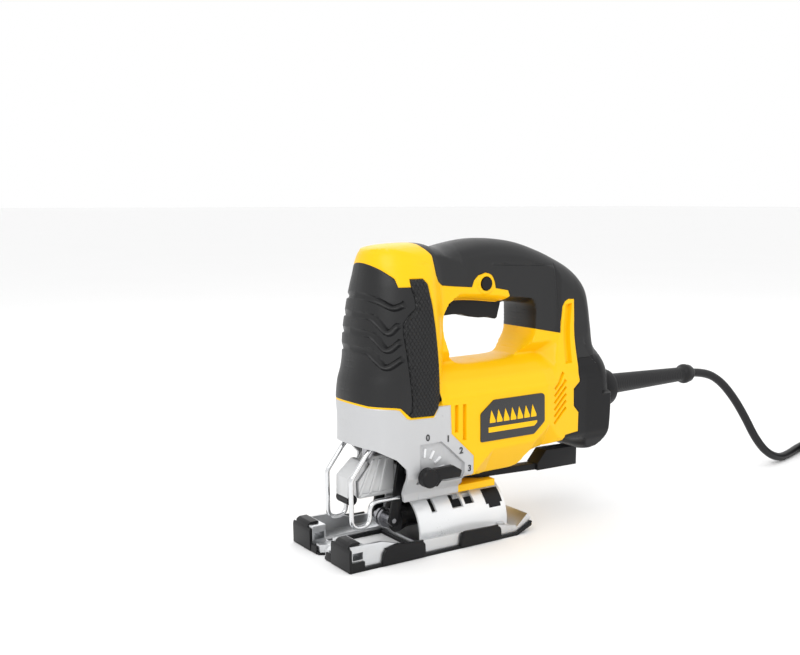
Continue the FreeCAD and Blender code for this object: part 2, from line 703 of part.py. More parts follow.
# ---------------------------------------------------------------------------
# shoe and bevel clamp
# ---------------------------------------------------------------------------
def make_shoe():
    f = cover_floor
    side = shoe_width / 2 - cover_side
    z1 = f + plate_thick
    front = 1.0
    bend = shoe_length - rear_kick - 2.0
    tip = shoe_length - 0.4
    deck = [(front, f), (bend, f), (tip - 1.0, f + kick_rise - 3.5), (tip, f + kick_rise),
            (tip - 2.6, f + kick_rise + 3.0), (bend - 1.0, z1), (front, z1)]
    plate = side_prism(deck, -side, side)
    rim = side_prism([(front, f), (bend, f), (bend, z1 + 2.0), (119.0, rim_rear_height),
                      (60.0, rim_rear_height + 1.2), (42.0, rim_rear_height + 1.6),
                      (24.0, rim_front_height), (front, bar_height)], side - rim_thick, side)
    bar = box(front, front + bar_depth, 14.0, side, f, bar_height)
    slot_x = front + fence_slot_x
    slot_z = fence_slot_z
    fence = box(slot_x, slot_x + fence_slot_w - 0.5, -60, 60, slot_z, slot_z + fence_slot_h)
    window = box(window_front, window_end, -window_half, window_half, 0, 40)
    notch = plan_prism([(front - 1, -4.0), (front + 6.0, 0.0), (front - 1, 4.0)], -1, 40)
    tongue = box(front, window_front, -tongue_half, tongue_half, f, z1 + 2.0)
    middle_cut = box(front - 1, 12.0, tongue_half, 14.0, -1, 40)
    plate = fuse(plate, rim, mirrored(rim), bar, mirrored(bar), tongue)
    for tool in (fence, window, notch, middle_cut, mirrored(middle_cut)):
        plate = plate.cut(tool)
    for x, y in shoe_screw_places():
        plate = plate.cut(rod((x, y, f - 1), (x, y, z1 + 1), screw_shank_r))
    keep("shoe_plate", biggest(plate))

    half = shoe_width / 2
    low = [(0.0, 0.0), (bend, 0.0), (tip, kick_rise - 3.8), (shoe_length, kick_rise - 1.0),
           (tip, kick_rise - 0.4), (tip - 1.0, f + kick_rise - 3.5), (bend, f), (0.0, f)]
    cover = side_prism(low, -half, half)
    tabs = [((0.0, 10.5), 6.5), ((26.0, 55.0), 12.0), ((86.0, 117.0), 11.0)]
    for (a, b), height in tabs:
        tab = box(a, b, side, half, 0, height)
        cover = cover.fuse(tab).fuse(mirrored(tab))
    for y0 in (14.0, -half):
        cover = cover.fuse(box(0, front, y0, y0 + half - 14.0, 0, 7.0))
    hole_half = window_half - 2.0
    cover = cover.cut(box(window_front + 2.0, window_end - 2.0, -hole_half, hole_half, -1, 10))
    cover = cover.cut(plan_prism([(-1, -5.0), (7.0, 0.0), (-1, 5.0)], -1, 40))
    cover = cover.cut(plate)
    keep("shoe_cover", biggest(cover))

    x0, x1 = saddle_front, saddle_front + saddle_length
    axis0, axis1 = (x0, 0, tilt_axis_z), (x1, 0, tilt_axis_z)
    arch = rod(axis0, axis1, saddle_r).common(box(0, 200, -60, 60, tilt_axis_z, 100))
    wall_box = box(x0, x1, -saddle_r, saddle_r, z1, tilt_axis_z)
    outer = arch.fuse(wall_box)
    inner_r = saddle_r - saddle_thick
    hollow = rod((x0 - 1, 0, tilt_axis_z), (x1 + 1, 0, tilt_axis_z), inner_r)
    hollow = hollow.fuse(box(x0 - 1, x1 + 1, -inner_r, inner_r, 0, tilt_axis_z))
    feet = [box(a, a + 12.0, saddle_r - 1.0, saddle_r + 5.5, z1, z1 + 2.0) for a in (x0 + 2.0, x1 - 14.0)]
    bracket = outer.cut(hollow)
    for foot in feet:
        bracket = bracket.fuse(foot).fuse(mirrored(foot))
    reach = (saddle_r + 1.0) * math.sin(math.radians(bevel_limit + 8.0))
    bracket = bracket.cut(box(bolt_x - bolt_r - 0.8, bolt_x + bolt_r + 0.8, -reach, reach, 20, 60))
    for a, b in ((72.0, 76.0), (89.0, 98.0)):
        for w in both(box(a, b, -30.0, -14.5, 23.5, 31.5)):
            bracket = bracket.cut(w)
    for x, y in shoe_screw_places():
        bracket = bracket.cut(rod((x, y, 0), (x, y, z1 + 4), screw_shank_r))
    keep("shoe_bracket", bracket.removeSplitter())
    screws = []
    for x, y in shoe_screw_places():
        head = rod((x, y, z1 + 2.0), (x, y, z1 + 4.0), 2.8)
        screws.append(head.fuse(rod((x, y, f), (x, y, z1 + 2.0), screw_shank_r)))
    keep("shoe_screws", *screws)


def shoe_screw_places():
    y = saddle_r + 3.1
    return [(x, s * y) for x in (saddle_front + 8.0, saddle_front + saddle_length - 8.0) for s in (-1, 1)]


def make_bevel_clamp():
    inner = saddle_r - saddle_thick - 0.3
    ring = tube((bolt_x - 9.0, 0, tilt_axis_z), (bolt_x + 9.0, 0, tilt_axis_z), inner, inner - 2.2)
    seat = ring.common(box(0, 200, -15.0, 15.0, tilt_axis_z + 10.0, 60))
    seat = seat.cut(rod((bolt_x, 0, 0), (bolt_x, 0, 60), bolt_r))
    keep("clamp_seat", seat)
    head_top = tilt_axis_z + inner - 3.0
    bolt = rod((bolt_x, 0, head_top - 3.0), (bolt_x, 0, housing_bottom + 6.5), bolt_r)
    keep("clamp_bolt", bolt.fuse(rod((bolt_x, 0, head_top - 3.5), (bolt_x, 0, head_top), 5.5)))
    nut = rod((bolt_x, 0, housing_bottom + 0.1), (bolt_x, 0, housing_bottom + 5.0), 6.6)
    keep("clamp_nut", nut.cut(bolt))

    end = bolt_x + lever_reach
    neck = end - paddle_length
    z0, z1 = lever_z, lever_z + lever_thick
    hub = rod((bolt_x, 0, z0), (bolt_x, 0, z1), 8.0)
    arm = plan_prism([(bolt_x, -7.0), (bolt_x + 14.0, -16.5), (neck, -22.0), (neck + 4.0, -14.0),
                      (bolt_x + 18.0, -9.5), (bolt_x, 7.0)], z0, z1)
    grip = side_prism([(neck, z0), (end, z0 - 0.4), (end, paddle_top - 2.0), (end - 3.0, paddle_top - 0.6),
                       (neck + 8.0, paddle_top), (neck, z1 + 0.5)], -25.0, -13.0)
    lever = fuse(hub, arm, grip).cut(rod((bolt_x, 0, 0), (bolt_x, 0, 90), bolt_r + run_fit))
    keep("bevel_lever", lever)


# ---------------------------------------------------------------------------
# guard, chip tube, badges, screws, rear fittings
# ---------------------------------------------------------------------------
def wire(points, radius):
    """Bent wire: straight runs with round corners."""
    pieces = []
    for a, b in zip(points, points[1:]):
        pieces.append(rod(a, b, radius))
    for p in points[1:-1]:
        pieces.append(Part.makeSphere(radius, V(*p)))
    return fuse(*pieces)


def make_fittings():
    near = wire([(x, -wire_y, z) for x, z in GUARD_PATH], wire_r)
    near = near.cut(box(0, 100, -60, 60, shelf_z[0], 120))
    keep("wire_guard", *both(near))

    x0, x1 = nozzle_x, saddle_front + saddle_length
    mouth = cone((x0, 0, chip_z), (x0 + 6.0, 0, chip_z), nozzle_r, chip_tube_r + 0.5)
    run = rod((x0 + 6.0, 0, chip_z), (x1, 0, chip_z), chip_tube_r)
    bore = rod((x0 - 1.0, 0, chip_z), (x1 + 1.0, 0, chip_z), chip_tube_r - 1.8)
    hanger = box(x0 + 8.0, x0 + 18.0, -3.0, 3.0, chip_z + chip_tube_r - 1.0, saddle_top - saddle_thick - 1.0)
    keep("chip_tube", fuse(mouth, run, hanger).cut(bore))

    badge = [(104.6, 70.0), (151.3, 70.0), (160.9, 78.0), (160.4, 97.0), (158.0, 98.5), (115.5, 98.3),
             (104.4, 89.7)]
    keep("badges", side_prism(badge, -body_half - 0.6, -body_half),
         side_prism(badge, body_half, body_half + 0.6))
    screws = [fuse(rod((x, seat, z), (x, seat + 2.2, z), screw_head_r),
                   rod((x, seat - 12.0, z), (x, seat, z), screw_shank_r))
              for x, z, seat in HOUSING_SCREWS + GEAR_COVER_SCREWS]

    bar = box(226.0, 232.0, -11.0, 11.0, cord_z + 4.0, cord_z + 8.0)
    for y in (-8.0, 8.0):
        bar = bar.cut(rod((229.0, y, cord_z), (229.0, y, cord_z + 20.0), screw_shank_r - 0.3))
    keep("cord_clamp", bar)
    screws += [fuse(rod((229.0, y, cord_z + 8.0), (229.0, y, cord_z + 10.0), screw_head_r - 0.6),
                    rod((229.0, y, cord_z - 6.0), (229.0, y, cord_z + 8.0), screw_shank_r - 0.3))
               for y in (-8.0, 8.0)]
    keep("case_screws", *screws)


# ---------------------------------------------------------------------------
# cord: strain relief, free run, put-away coil, plug
# ---------------------------------------------------------------------------

def arc_tube(points, radius):
    """Round tube along straight runs joined by tangent arcs."""
    pts = [V(*p) for p in points]
    edges = []
    radii = []
    start = pts[0]
    lengths = [(b - a).Length for a, b in zip(pts, pts[1:])]
    lengths[0] *= 2            # only one bend uses each end run
    lengths[-1] *= 2
    for k, (a, b, c) in enumerate(zip(pts, pts[1:], pts[2:])):
        d0, d1 = (b - a).normalize(), (c - b).normalize()
        turn = d0.getAngle(d1)
        cut = 0.45 * min(lengths[k], lengths[k + 1])
        radii.append(cut / math.tan(turn / 2))
        p0, p1 = b - d0 * cut, b + d1 * cut
        middle = (p0 + p1) * 0.5
        bulge = radii[-1] * (1 / math.cos(turn / 2) - 1)
        toward = (middle - b).normalize()
        edges.append(Part.makeLine(start, p0))
        edges.append(Part.Arc(p0, b + toward * bulge, p1).toShape())
        start = p1
    edges.append(Part.makeLine(start, pts[-1]))
    path = Part.Wire(edges)
    first = (pts[1] - pts[0]).normalize()
    ring = Part.Wire(Part.makeCircle(radius, pts[0], first))
    solid = path.makePipeShell([ring], True, True)
    print("cord radii", [round(r, 1) for r in radii], "length", round(path.Length, 1),
          "volume ratio", round(solid.Volume / (math.pi * radius ** 2 * path.Length), 4))
    return solid


def make_cord():
    r = cord_d / 2
    x0 = tool_length
    stub = rod((224.0, 0, cord_z), (240.0, 0, cord_z), 4.0)
    root = rod((235.0, 0, cord_z), (x0, 0, cord_z), relief_r0)
    flange = rod((232.6, 0, cord_z), (235.2, 0, cord_z), 10.0)
    end = relief_end - collar_length
    taper = cone((x0, 0, cord_z), (end, 0, cord_z), relief_r0, relief_r1)
    collar = rod((end, 0, cord_z), (relief_end, 0, cord_z), collar_r)
    keep("strain_relief", fuse(stub, flange, root, taper, collar))
    cx, cy = coil_centre
    inner = coil_mid - (coil_columns / 2) * cord_d
    outer = coil_mid + (coil_columns / 2) * cord_d
    z1 = cord_d * coil_layers
    z2 = z1 + cord_d
    low = tube((cx, cy, 0), (cx, cy, z1), outer, inner)
    high = tube((cx, cy, z1), (cx, cy, z2), outer, outer - coil_top_columns * cord_d)
    coil = low.fuse(high).removeSplitter()
    keep("cord_coil", coil)

    plug_z = z2 + plug_r + 0.3
    last_r = inner + r
    a0 = math.radians(tail_angle)
    bx = cx + (last_r - tail_r) * math.cos(a0)
    by = cy + (last_r - tail_r) * math.sin(a0)
    steps = 4
    half_step = math.radians(tail_turn / steps / 2)
    bends = [(bx + tail_r * math.cos(a0), by + tail_r * math.sin(a0), z2 - r)]
    for k in range(steps):
        a = a0 - half_step * (2 * k + 1)
        far = tail_r / math.cos(half_step)
        bends.append((bx + far * math.cos(a), by + far * math.sin(a),
                      z2 - r + (plug_z - z2 + r) * (k + 1) / steps))
    a = a0 - 2 * steps * half_step
    bends.append((bx + tail_r * math.cos(a), by + tail_r * math.sin(a), plug_z))
    tail_end = V(*bends[-1])
    ahead = V(math.sin(a), -math.cos(a), 0)
    tail = arc_tube(bends, r)
    keep("cord", arc_tube(CORD_ROUTE, r).cut(coil), biggest(tail.cut(coil)))
    sleeve_end = tail_end + ahead * plug_sleeve
    body_end = sleeve_end + ahead * plug_body
    sleeve = Part.makeCone(r + 1.6, relief_r0, plug_sleeve, tail_end, ahead)
    body = Part.makeCylinder(plug_r, plug_body, sleeve_end, ahead)
    keep("plug", fuse(sleeve, body).cut(tail))
    across = V(-ahead.y, ahead.x, 0) * (pin_spacing / 2)
    pins = [Part.makeCylinder(pin_r, pin_length, body_end + across * s, ahead) for s in (-1, 1)]
    keep("plug_pins", *pins)


make_shells()
make_frame()
make_plunger()
make_roller()
make_gears()
make_motor()
make_controls()
make_shoe()
make_bevel_clamp()
make_fittings()
make_cord()
for name, shape in sorted(made.items()):
    if not shape.isValid() or min(s.Volume for s in shape.Solids) < 1.0:
        print("check", name, shape.isValid(), [round(s.Volume, 1) for s in shape.Solids])
print(len(made), "sub-parts")
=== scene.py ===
import math
import bmesh
import bpy
import numpy as np
from mathutils import Matrix, Vector
from mathutils.geometry import delaunay_2d_cdt


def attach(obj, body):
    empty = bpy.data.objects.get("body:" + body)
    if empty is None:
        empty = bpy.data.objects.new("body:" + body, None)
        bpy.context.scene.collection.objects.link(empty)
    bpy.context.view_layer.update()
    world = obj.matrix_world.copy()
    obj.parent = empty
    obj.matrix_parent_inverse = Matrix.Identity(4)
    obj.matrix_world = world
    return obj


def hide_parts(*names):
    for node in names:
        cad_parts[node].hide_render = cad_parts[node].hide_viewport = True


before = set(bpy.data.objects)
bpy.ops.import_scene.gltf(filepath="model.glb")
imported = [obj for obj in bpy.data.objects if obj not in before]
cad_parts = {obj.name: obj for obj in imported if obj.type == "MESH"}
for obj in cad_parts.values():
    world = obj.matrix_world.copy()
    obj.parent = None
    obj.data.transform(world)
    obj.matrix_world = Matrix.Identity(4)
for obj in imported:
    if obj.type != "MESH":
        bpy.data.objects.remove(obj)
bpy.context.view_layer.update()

# Sizes below are in millimetres while a piece is laid out: x runs back from the
# front edge of the shoe, y = 0 is the blade's plane (the near side is negative),
# z = 0 is the underside of the shoe. at() turns them into the frame's metres.
FRONT_EDGE = -126.5
MM = 0.001

SHELL_WALL = 2.2                # thickness of the moulded shells
RECESS_DEPTH = 2.8              # how deep the dial lies in the gear case
SELECTOR_HUB = (60.0, 53.6)
BUTTON = (119.4, 175.5)         # middle of the lock button
SCREW_BORE = 3.36               # radius of the hole over a case screw, between two rings of points
SCREW_RINGS = (3.3, 3.42)
TILT_AXIS_Z = 9.0               # height of the line that the shoe tilts about
KNURL_PITCH = 2.3
KNURL_LEAN = math.radians(58.0)


def at(x, y, z):
    return Vector(((x + FRONT_EDGE) * MM, y * MM, z * MM))


def at_many(points):
    """Rows of x, y, z in millimetres, as an array in the frame's metres."""
    return (np.asarray(points, float) + (FRONT_EDGE, 0.0, 0.0)) * MM


# ---------------------------------------------------------------------------
# camera
# ---------------------------------------------------------------------------
def set_camera():
    data = bpy.data.cameras.new("camera")
    camera = bpy.data.objects.new("camera", data)
    bpy.context.collection.objects.link(camera)
    eye = Vector((-0.4253, -0.5733, 0.2297))
    aim = Vector((-0.0231, 0.0, 0.09046))
    camera.location = eye
    camera.rotation_mode = "QUATERNION"
    camera.rotation_quaternion = (aim - eye).to_track_quat("-Z", "Y")
    data.sensor_width = 36.0
    data.lens = 45.99
    data.shift_x = -0.0625
    data.shift_y = 0.0969
    data.clip_start = 0.02
    data.clip_end = 60.0
    bpy.context.scene.camera = camera


# ---------------------------------------------------------------------------
# shader maths
# ---------------------------------------------------------------------------
class Flow:
    """A socket of a material, with the usual operators."""

    def __init__(self, tree, socket):
        self.tree = tree
        self.socket = socket

    def _maths(self, operation, *values):
        node = self.tree.nodes.new("ShaderNodeMath")
        node.operation = operation
        for entry, value in zip(node.inputs, values):
            if isinstance(value, Flow):
                self.tree.links.new(value.socket, entry)
            else:
                entry.default_value = value
        return Flow(self.tree, node.outputs[0])

    def __add__(self, other): return self._maths("ADD", self, other)
    def __radd__(self, other): return self._maths("ADD", other, self)
    def __sub__(self, other): return self._maths("SUBTRACT", self, other)
    def __rsub__(self, other): return self._maths("SUBTRACT", other, self)
    def __mul__(self, other): return self._maths("MULTIPLY", self, other)
    def __rmul__(self, other): return self._maths("MULTIPLY", other, self)
    def __truediv__(self, other): return self._maths("DIVIDE", self, other)
    def most(self, other): return self._maths("MAXIMUM", self, other)
    def least(self, other): return self._maths("MINIMUM", self, other)
    def wrap(self, span): return self._maths("PINGPONG", self, span)


class Finish:
    """One material: its nodes, its shader and the object's own coordinates."""

    def __init__(self, name):
        self.material = bpy.data.materials.new(name)
        self.material.use_nodes = True
        self.tree = self.material.node_tree
        self.shader = self.tree.nodes["Principled BSDF"]
        self.place = self.node("ShaderNodeTexCoord", out="Object")

    def node(self, kind, settings=None, out=0, **values):
        """A node with its settings, then its sockets by name, or by number as in_6."""
        made = self.tree.nodes.new(kind)
        for key, value in (settings or {}).items():
            setattr(made, key, value)
        for key, value in values.items():
            key = key.replace("_", " ")
            entry = made.inputs[int(key[3:])] if key.startswith("in ") else made.inputs[key]
            self.feed(entry, value)
        return Flow(self.tree, made.outputs[out])

    def feed(self, entry, value):
        if isinstance(value, Flow):
            self.tree.links.new(value.socket, entry)
        else:
            entry.default_value = value

    def set(self, **values):
        for key, value in values.items():
            self.feed(self.shader.inputs[key.replace("_", " ")], value)
        return self

    def noise(self, scale, detail=3.0, roughness=0.5):
        return self.node("ShaderNodeTexNoise", Vector=self.place, Scale=scale, Detail=detail,
                         Roughness=roughness)

    def split(self):
        """The x, y and z of a place on the object."""
        parts = self.node("ShaderNodeSeparateXYZ", Vector=self.place).socket.node
        return [Flow(self.tree, s) for s in parts.outputs]

    def blend(self, factor, first, second):
        """Colour between first and second."""
        a, b = (c if isinstance(c, Flow) else (*c, 1.0) for c in (first, second))
        # a Mix node's colours are its sockets 6 and 7 and its output 2: other kinds share their names
        return self.node("ShaderNodeMix", {"data_type": "RGBA"}, out=2, in_0=factor, in_6=a, in_7=b)

    def raised(self, height, depth):
        """Feed a height, in metres of relief, to the surface's normal."""
        self.set(Normal=self.node("ShaderNodeBump", Height=height, Strength=1.0, Distance=depth))
        return self


def moulded(name, colour, lighter, roughness, grain=2600.0, grain_depth=0.00004, metallic=0.0,
            patch=28.0, coat=0.0, gloss=0.5):
    """Moulded or cast surface: fine even grain, slow shifts of colour and gloss, lighter rubbed spots."""
    f = Finish(name)
    slow = f.noise(patch, 2.0)
    fine = f.noise(grain, 2.0)
    rubbed = ((f.noise(patch * 4.0, 5.0, 0.65) - 0.62) * 6.0).most(0.0).least(1.0)
    tint = f.blend(slow * 0.35 + rubbed * 0.25, colour, lighter)
    f.set(Base_Color=tint, Roughness=roughness + (slow - 0.5) * 0.10 + (fine - 0.5) * 0.08,
          Metallic=metallic, Specular_IOR_Level=gloss)
    if coat:
        f.set(Coat_Weight=coat, Coat_Roughness=0.25)
    return f.raised(fine, grain_depth)


def metal(name, colour, darker, roughness, streak=(400.0, 4000.0, 4000.0), depth=0.00002, metallic=1.0,
          spots=0.2):
    """Bare metal with draw lines along one way and a few dull spots."""
    f = Finish(name)
    stretched = f.node("ShaderNodeMapping", Vector=f.place, Scale=streak)
    lines = f.node("ShaderNodeTexNoise", Vector=stretched, Scale=1.0, Detail=3.0)
    dull = ((f.noise(90.0, 4.0, 0.6) - 0.55) * 5.0).most(0.0).least(1.0)
    f.set(Base_Color=f.blend(dull * spots + lines * 0.25, colour, darker), Metallic=metallic,
          Roughness=roughness + dull * 0.12 + (lines - 0.5) * 0.12)
    return f.raised(lines, depth)


def knurled(name):
    """Soft pad with a diamond pattern: its dull valleys are painted darker as shade, between the raised points.
    """
    f = Finish(name)
    x, _, z = f.split()
    c, s = math.cos(KNURL_LEAN), math.sin(KNURL_LEAN)
    pitch = KNURL_PITCH * MM
    x = x - FRONT_EDGE * MM
    ways = [((x * s + z * (c * way)) / (pitch / 2)).wrap(1.0) for way in (1, -1)]
    points = ways[0].least(ways[1])
    fine = f.noise(2400.0, 2.0)
    shaded_valley = 1 - (points * 4.0).least(1.0)
    # painted shade: the valleys of the pattern are coloured darker than its points
    f.set(Base_Color=f.blend(shaded_valley, (0.010, 0.0102, 0.0108), (0.0025, 0.0025, 0.003)),
          Roughness=0.44 + shaded_valley * 0.3 + (fine - 0.5) * 0.08, Specular_IOR_Level=0.35)
    return f.raised(points + fine * 0.1, 0.0005)


def make_finishes():
    made = {
        "yellow": moulded("yellow_shell", (0.92, 0.515, 0.0015), (0.96, 0.58, 0.006), 0.34, coat=0.04,
                          gloss=0.22),
        "grip": moulded("black_grip", (0.006, 0.0062, 0.0068), (0.014, 0.014, 0.015), 0.42, 1800.0, 0.00008,
                        gloss=0.4),
        "black": moulded("black_plastic", (0.007, 0.007, 0.0078), (0.016, 0.016, 0.017), 0.40, gloss=0.2),
        "case": moulded("silver_case", (0.50, 0.505, 0.515), (0.60, 0.605, 0.61), 0.42, 3000.0, 0.00003,
                        metallic=0.25),
        "cord": moulded("cord_jacket", (0.007, 0.007, 0.008), (0.015, 0.015, 0.016), 0.46, 1500.0, 0.00005,
                        gloss=0.3),
        "wire": metal("bright_wire", (0.78, 0.79, 0.80), (0.5, 0.5, 0.52), 0.16),
        "zinc": moulded("cast_zinc", (0.60, 0.605, 0.61), (0.72, 0.725, 0.73), 0.36, 900.0, 0.00006,
                        metallic=0.45),
        "steel": metal("pressed_steel", (0.66, 0.67, 0.68), (0.45, 0.46, 0.48), 0.34),
        "white": moulded("white_zinc", (0.80, 0.81, 0.82), (0.88, 0.885, 0.89), 0.30, 1400.0, 0.00002,
                         metallic=0.3),
        "hard": metal("hard_steel", (0.42, 0.42, 0.44), (0.22, 0.22, 0.24), 0.28),
        "spring": metal("spring_steel", (0.36, 0.37, 0.40), (0.2, 0.2, 0.22), 0.3),
        "bronze": metal("bronze", (0.55, 0.34, 0.14), (0.35, 0.2, 0.08), 0.4),
        "copper": metal("copper", (0.72, 0.30, 0.14), (0.45, 0.16, 0.07), 0.35, (3000, 300, 3000)),
        "lamination": metal("lamination", (0.32, 0.33, 0.35), (0.12, 0.12, 0.13), 0.5, (2400, 60, 60)),
        "pad": knurled("knurled_grip"),
        "badge": moulded("badge_face", (0.006, 0.006, 0.007), (0.012, 0.012, 0.013), 0.22, coat=0.4),
        # dark finish for the dial's printed figures, and as painted shade in the screws' cross recesses
        "ink": moulded("dial_ink", (0.03, 0.03, 0.032), (0.07, 0.07, 0.072), 0.5),
        "carbon": moulded("carbon", (0.02, 0.02, 0.022), (0.05, 0.05, 0.052), 0.6),
    }
    return {key: f.material for key, f in made.items()}


# ---------------------------------------------------------------------------
# lines and outlines in the side view
# ---------------------------------------------------------------------------
def smoothed(points, step):
    """Catmull-Rom curve through the points, sampled about a step apart."""
    p = [np.array(q, float) for q in points]
    p = [2 * p[0] - p[1]] + p + [2 * p[-1] - p[-2]]
    out = []
    for a, b, c, d in zip(p, p[1:], p[2:], p[3:]):
        n = max(1, round(np.linalg.norm(c - b) / step))
        for k in range(n):
            t = k / n
            out.append(0.5 * (2 * b + (c - a) * t + (2 * a - 5 * b + 4 * c - d) * t ** 2
                              + (3 * b - a - 3 * c + d) * t ** 3))
    out.append(p[-2])
    return np.array(out)


def straight(points, step):
    """Straight runs between the points, sampled about a step apart."""
    out = []
    for a, b in zip(points, points[1:]):
        a, b = np.array(a, float), np.array(b, float)
        n = max(1, round(np.linalg.norm(b - a) / step))
        out += [a + (b - a) * k / n for k in range(n)]
    out.append(np.array(points[-1], float))
    return np.array(out)


def closed(points):
    return list(points) + [points[0]]


def ring(x, z, radius, count=32):
    t = np.arange(count) * 2 * math.pi / count
    return np.stack([x + radius * np.cos(t), z + radius * np.sin(t)], 1)


def gap_to(points, line):
    """Distance of each point from a line of points."""
    best = np.full(len(points), 1e9)
    for a, b in zip(line[:-1], line[1:]):
        d = b - a
        t = np.clip(((points - a) @ d) / max(d @ d, 1e-12), 0, 1)
        off = points - a - t[:, None] * d
        best = np.minimum(best, np.hypot(off[:, 0], off[:, 1]))
    return best


def within(points, outline):
    """True for each point that lies in a closed outline."""
    x, z = points[:, 0], points[:, 1]
    hit = np.zeros(len(points), bool)
    for (x0, z0), (x1, z1) in zip(outline, np.roll(outline, -1, 0)):
        if z0 == z1:
            continue
        cross = ((z0 > z) != (z1 > z)) & (x < (x1 - x0) * (z - z0) / (z1 - z0) + x0)
        hit ^= cross
    return hit


def depth_in(points, outline):
    """Distance from a closed outline, positive inside."""
    d = gap_to(points, np.vstack([outline, outline[:1]]))
    return np.where(within(points, outline), d, -d)


def ease(t):
    t = np.clip(t, 0, 1)
    return t * t * (3 - 2 * t)


def softest(a, b, k):
    """The larger of two heights, with a fillet about k wide where they meet."""
    w = np.clip(0.5 + 0.5 * (a - b) / k, 0, 1)
    return b + (a - b) * w + k * w * (1 - w) * np.clip(np.minimum(a, b) / k, 0, 1)


# ---------------------------------------------------------------------------
# outer form of the tool: outlines in the side view, and half widths over them
# ---------------------------------------------------------------------------
# nose front, over the top, down the rear, round the lobes and forward underneath
CROWNED = [(19.2, 75.0), (19.4, 82.0), (19.4, 92.0), (18.9, 102.9), (20.2, 114.2), (22.6, 122.0),
           (24.0, 130.0), (24.2, 140.0), (25.1, 150.5), (27.5, 165.1), (29.6, 176.0), (31.3, 184.0),
           (33.2, 193.5), (36.8, 199.6), (46.1, 202.4), (60.7, 203.4), (74.0, 203.2), (81.0, 201.4),
           (88.0, 200.4), (97.0, 202.4), (110.0, 204.6), (122.8, 205.4), (139.3, 204.6), (156.3, 201.9),
           (173.9, 196.4), (188.4, 190.5), (201.4, 183.9), (210.9, 176.0), (216.9, 167.0), (220.1, 155.4),
           (222.5, 140.8), (225.2, 127.5), (232.0, 119.5), (237.0, 112.0), (240.0, 102.0), (241.0, 86.0),
           (240.4, 69.0), (238.6, 58.5), (233.2, 51.5), (224.0, 46.6), (214.0, 46.0), (208.4, 49.5),
           (203.0, 55.4), (190.0, 56.6), (166.0, 56.0), (153.5, 54.2), (147.0, 48.0), (141.0, 44.8),
           (120.0, 44.6), (94.6, 44.6)]
# open edges: the foot and the arch over the blade clamp
CUT = [(94.6, 44.6), (94.2, 34.0), (51.0, 34.0), (48.2, 45.2), (46.8, 58.9), (39.6, 66.4), (28.2, 72.5),
       (19.2, 75.0)]
# the finger opening
OPENING = [(92.4, 128.0), (89.2, 134.0), (86.0, 142.0), (84.6, 150.0), (86.0, 156.8), (91.0, 162.2),
           (100.0, 164.2), (116.1, 163.6), (135.8, 161.4), (150.0, 160.4), (158.6, 159.8), (161.4, 157.4),
           (162.0, 150.0), (161.8, 140.0), (159.6, 134.5), (152.0, 126.4), (145.0, 123.4), (119.9, 122.7),
           (104.0, 122.8), (97.0, 124.4)]

CASE_LINE = [(17.7, 102.6), (25.0, 100.5), (38.7, 99.5), (42.0, 98.8), (47.3, 92.8), (49.8, 92.0),
             (67.9, 91.4), (71.9, 98.4), (80.3, 98.5), (81.1, 79.0), (99.3, 61.5), (99.3, 49.3),
             (94.6, 44.0), (94.6, 20.0)]
GEAR_COVER = [(0.0, 20.0), (0.0, 103.4)] + CASE_LINE
PAD_FRONT = [(48.2, 94.8), (50.7, 97.1), (51.2, 104.0), (50.4, 112.2), (49.2, 124.0), (48.0, 134.6),
             (46.2, 147.0), (46.4, 154.0), (50.0, 158.6), (55.6, 163.2), (55.4, 170.0), (53.6, 176.6)]
NOSE_GRIP = ([(0.0, 104.6), (17.7, 103.8), (25.0, 101.8), (38.9, 100.7), (42.8, 100.0)] + PAD_FRONT
             + [(45.7, 176.6), (44.4, 182.0), (38.0, 187.6), (32.0, 192.0), (30.0, 195.0), (0.0, 197.0)])
SIDE_PAD = PAD_FRONT[::-1] + [(50.2, 93.2), (67.7, 92.6), (74.3, 101.5), (73.9, 116.9), (72.4, 132.0),
                              (70.4, 147.3), (68.2, 164.0), (66.0, 178.2), (63.0, 181.6), (53.4, 181.6)]
HANDLE_GRIP = [(68.0, 240.0), (69.9, 201.0), (73.1, 196.1), (74.3, 189.9), (75.8, 183.1), (78.0, 178.8),
               (82.6, 175.9), (95.0, 174.6), (108.2, 173.5), (110.0, 178.0), (113.4, 181.2), (119.4, 182.9),
               (125.0, 180.8), (127.6, 176.5), (128.5, 171.9), (139.3, 170.0), (141.0, 166.0),
               (136.0, 160.0), (136.0, 152.0), (156.0, 150.0), (160.1, 142.4), (186.5, 137.2),
               (188.4, 156.0), (190.4, 159.4), (193.7, 161.2), (199.1, 160.9), (199.8, 146.0),
               (199.6, 131.4), (199.2, 118.2), (240.0, 118.2), (240.0, 240.0)]
REAR_CAP = [(199.2, 118.2), (199.0, 108.0), (198.5, 101.5), (192.5, 97.0), (192.9, 84.3), (198.1, 79.0),
            (198.0, 64.8), (184.2, 64.1), (182.5, 60.0), (176.5, 57.5), (176.0, 30.0), (270.0, 30.0),
            (270.0, 118.2)]
REGIONS = [("gear_cover", GEAR_COVER, "case"), ("nose_grip", NOSE_GRIP, "grip"),
           ("side_pad", SIDE_PAD, "grip"), ("handle_grip", HANDLE_GRIP, "grip"),
           ("rear_cap", REAR_CAP, "black")]

SELECTOR_RECESS = [(56.5, 74.5), (73.6, 74.8), (91.6, 58.0), (91.6, 46.5), (66.0, 46.5), (56.5, 46.5)]
SCREWS = [(98.0, 58.0, 28.0), (158.5, 66.0, 30.0), (184.0, 114.0, 20.0), (206.0, 152.0, 14.0),
          (150.0, 188.0, 14.0), (62.0, 190.0, 16.0), (77.4, 92.0, 28.0), (77.4, 66.0, 28.0),
          (36.0, 90.0, 18.0)]


def level(v, table):
    xs, ys = zip(*table)
    return np.interp(v, xs, ys)


def superellipse(u, power):
    return np.power(np.clip(1 - np.clip(u, 0, 1) ** power, 0, 1), 1 / power)


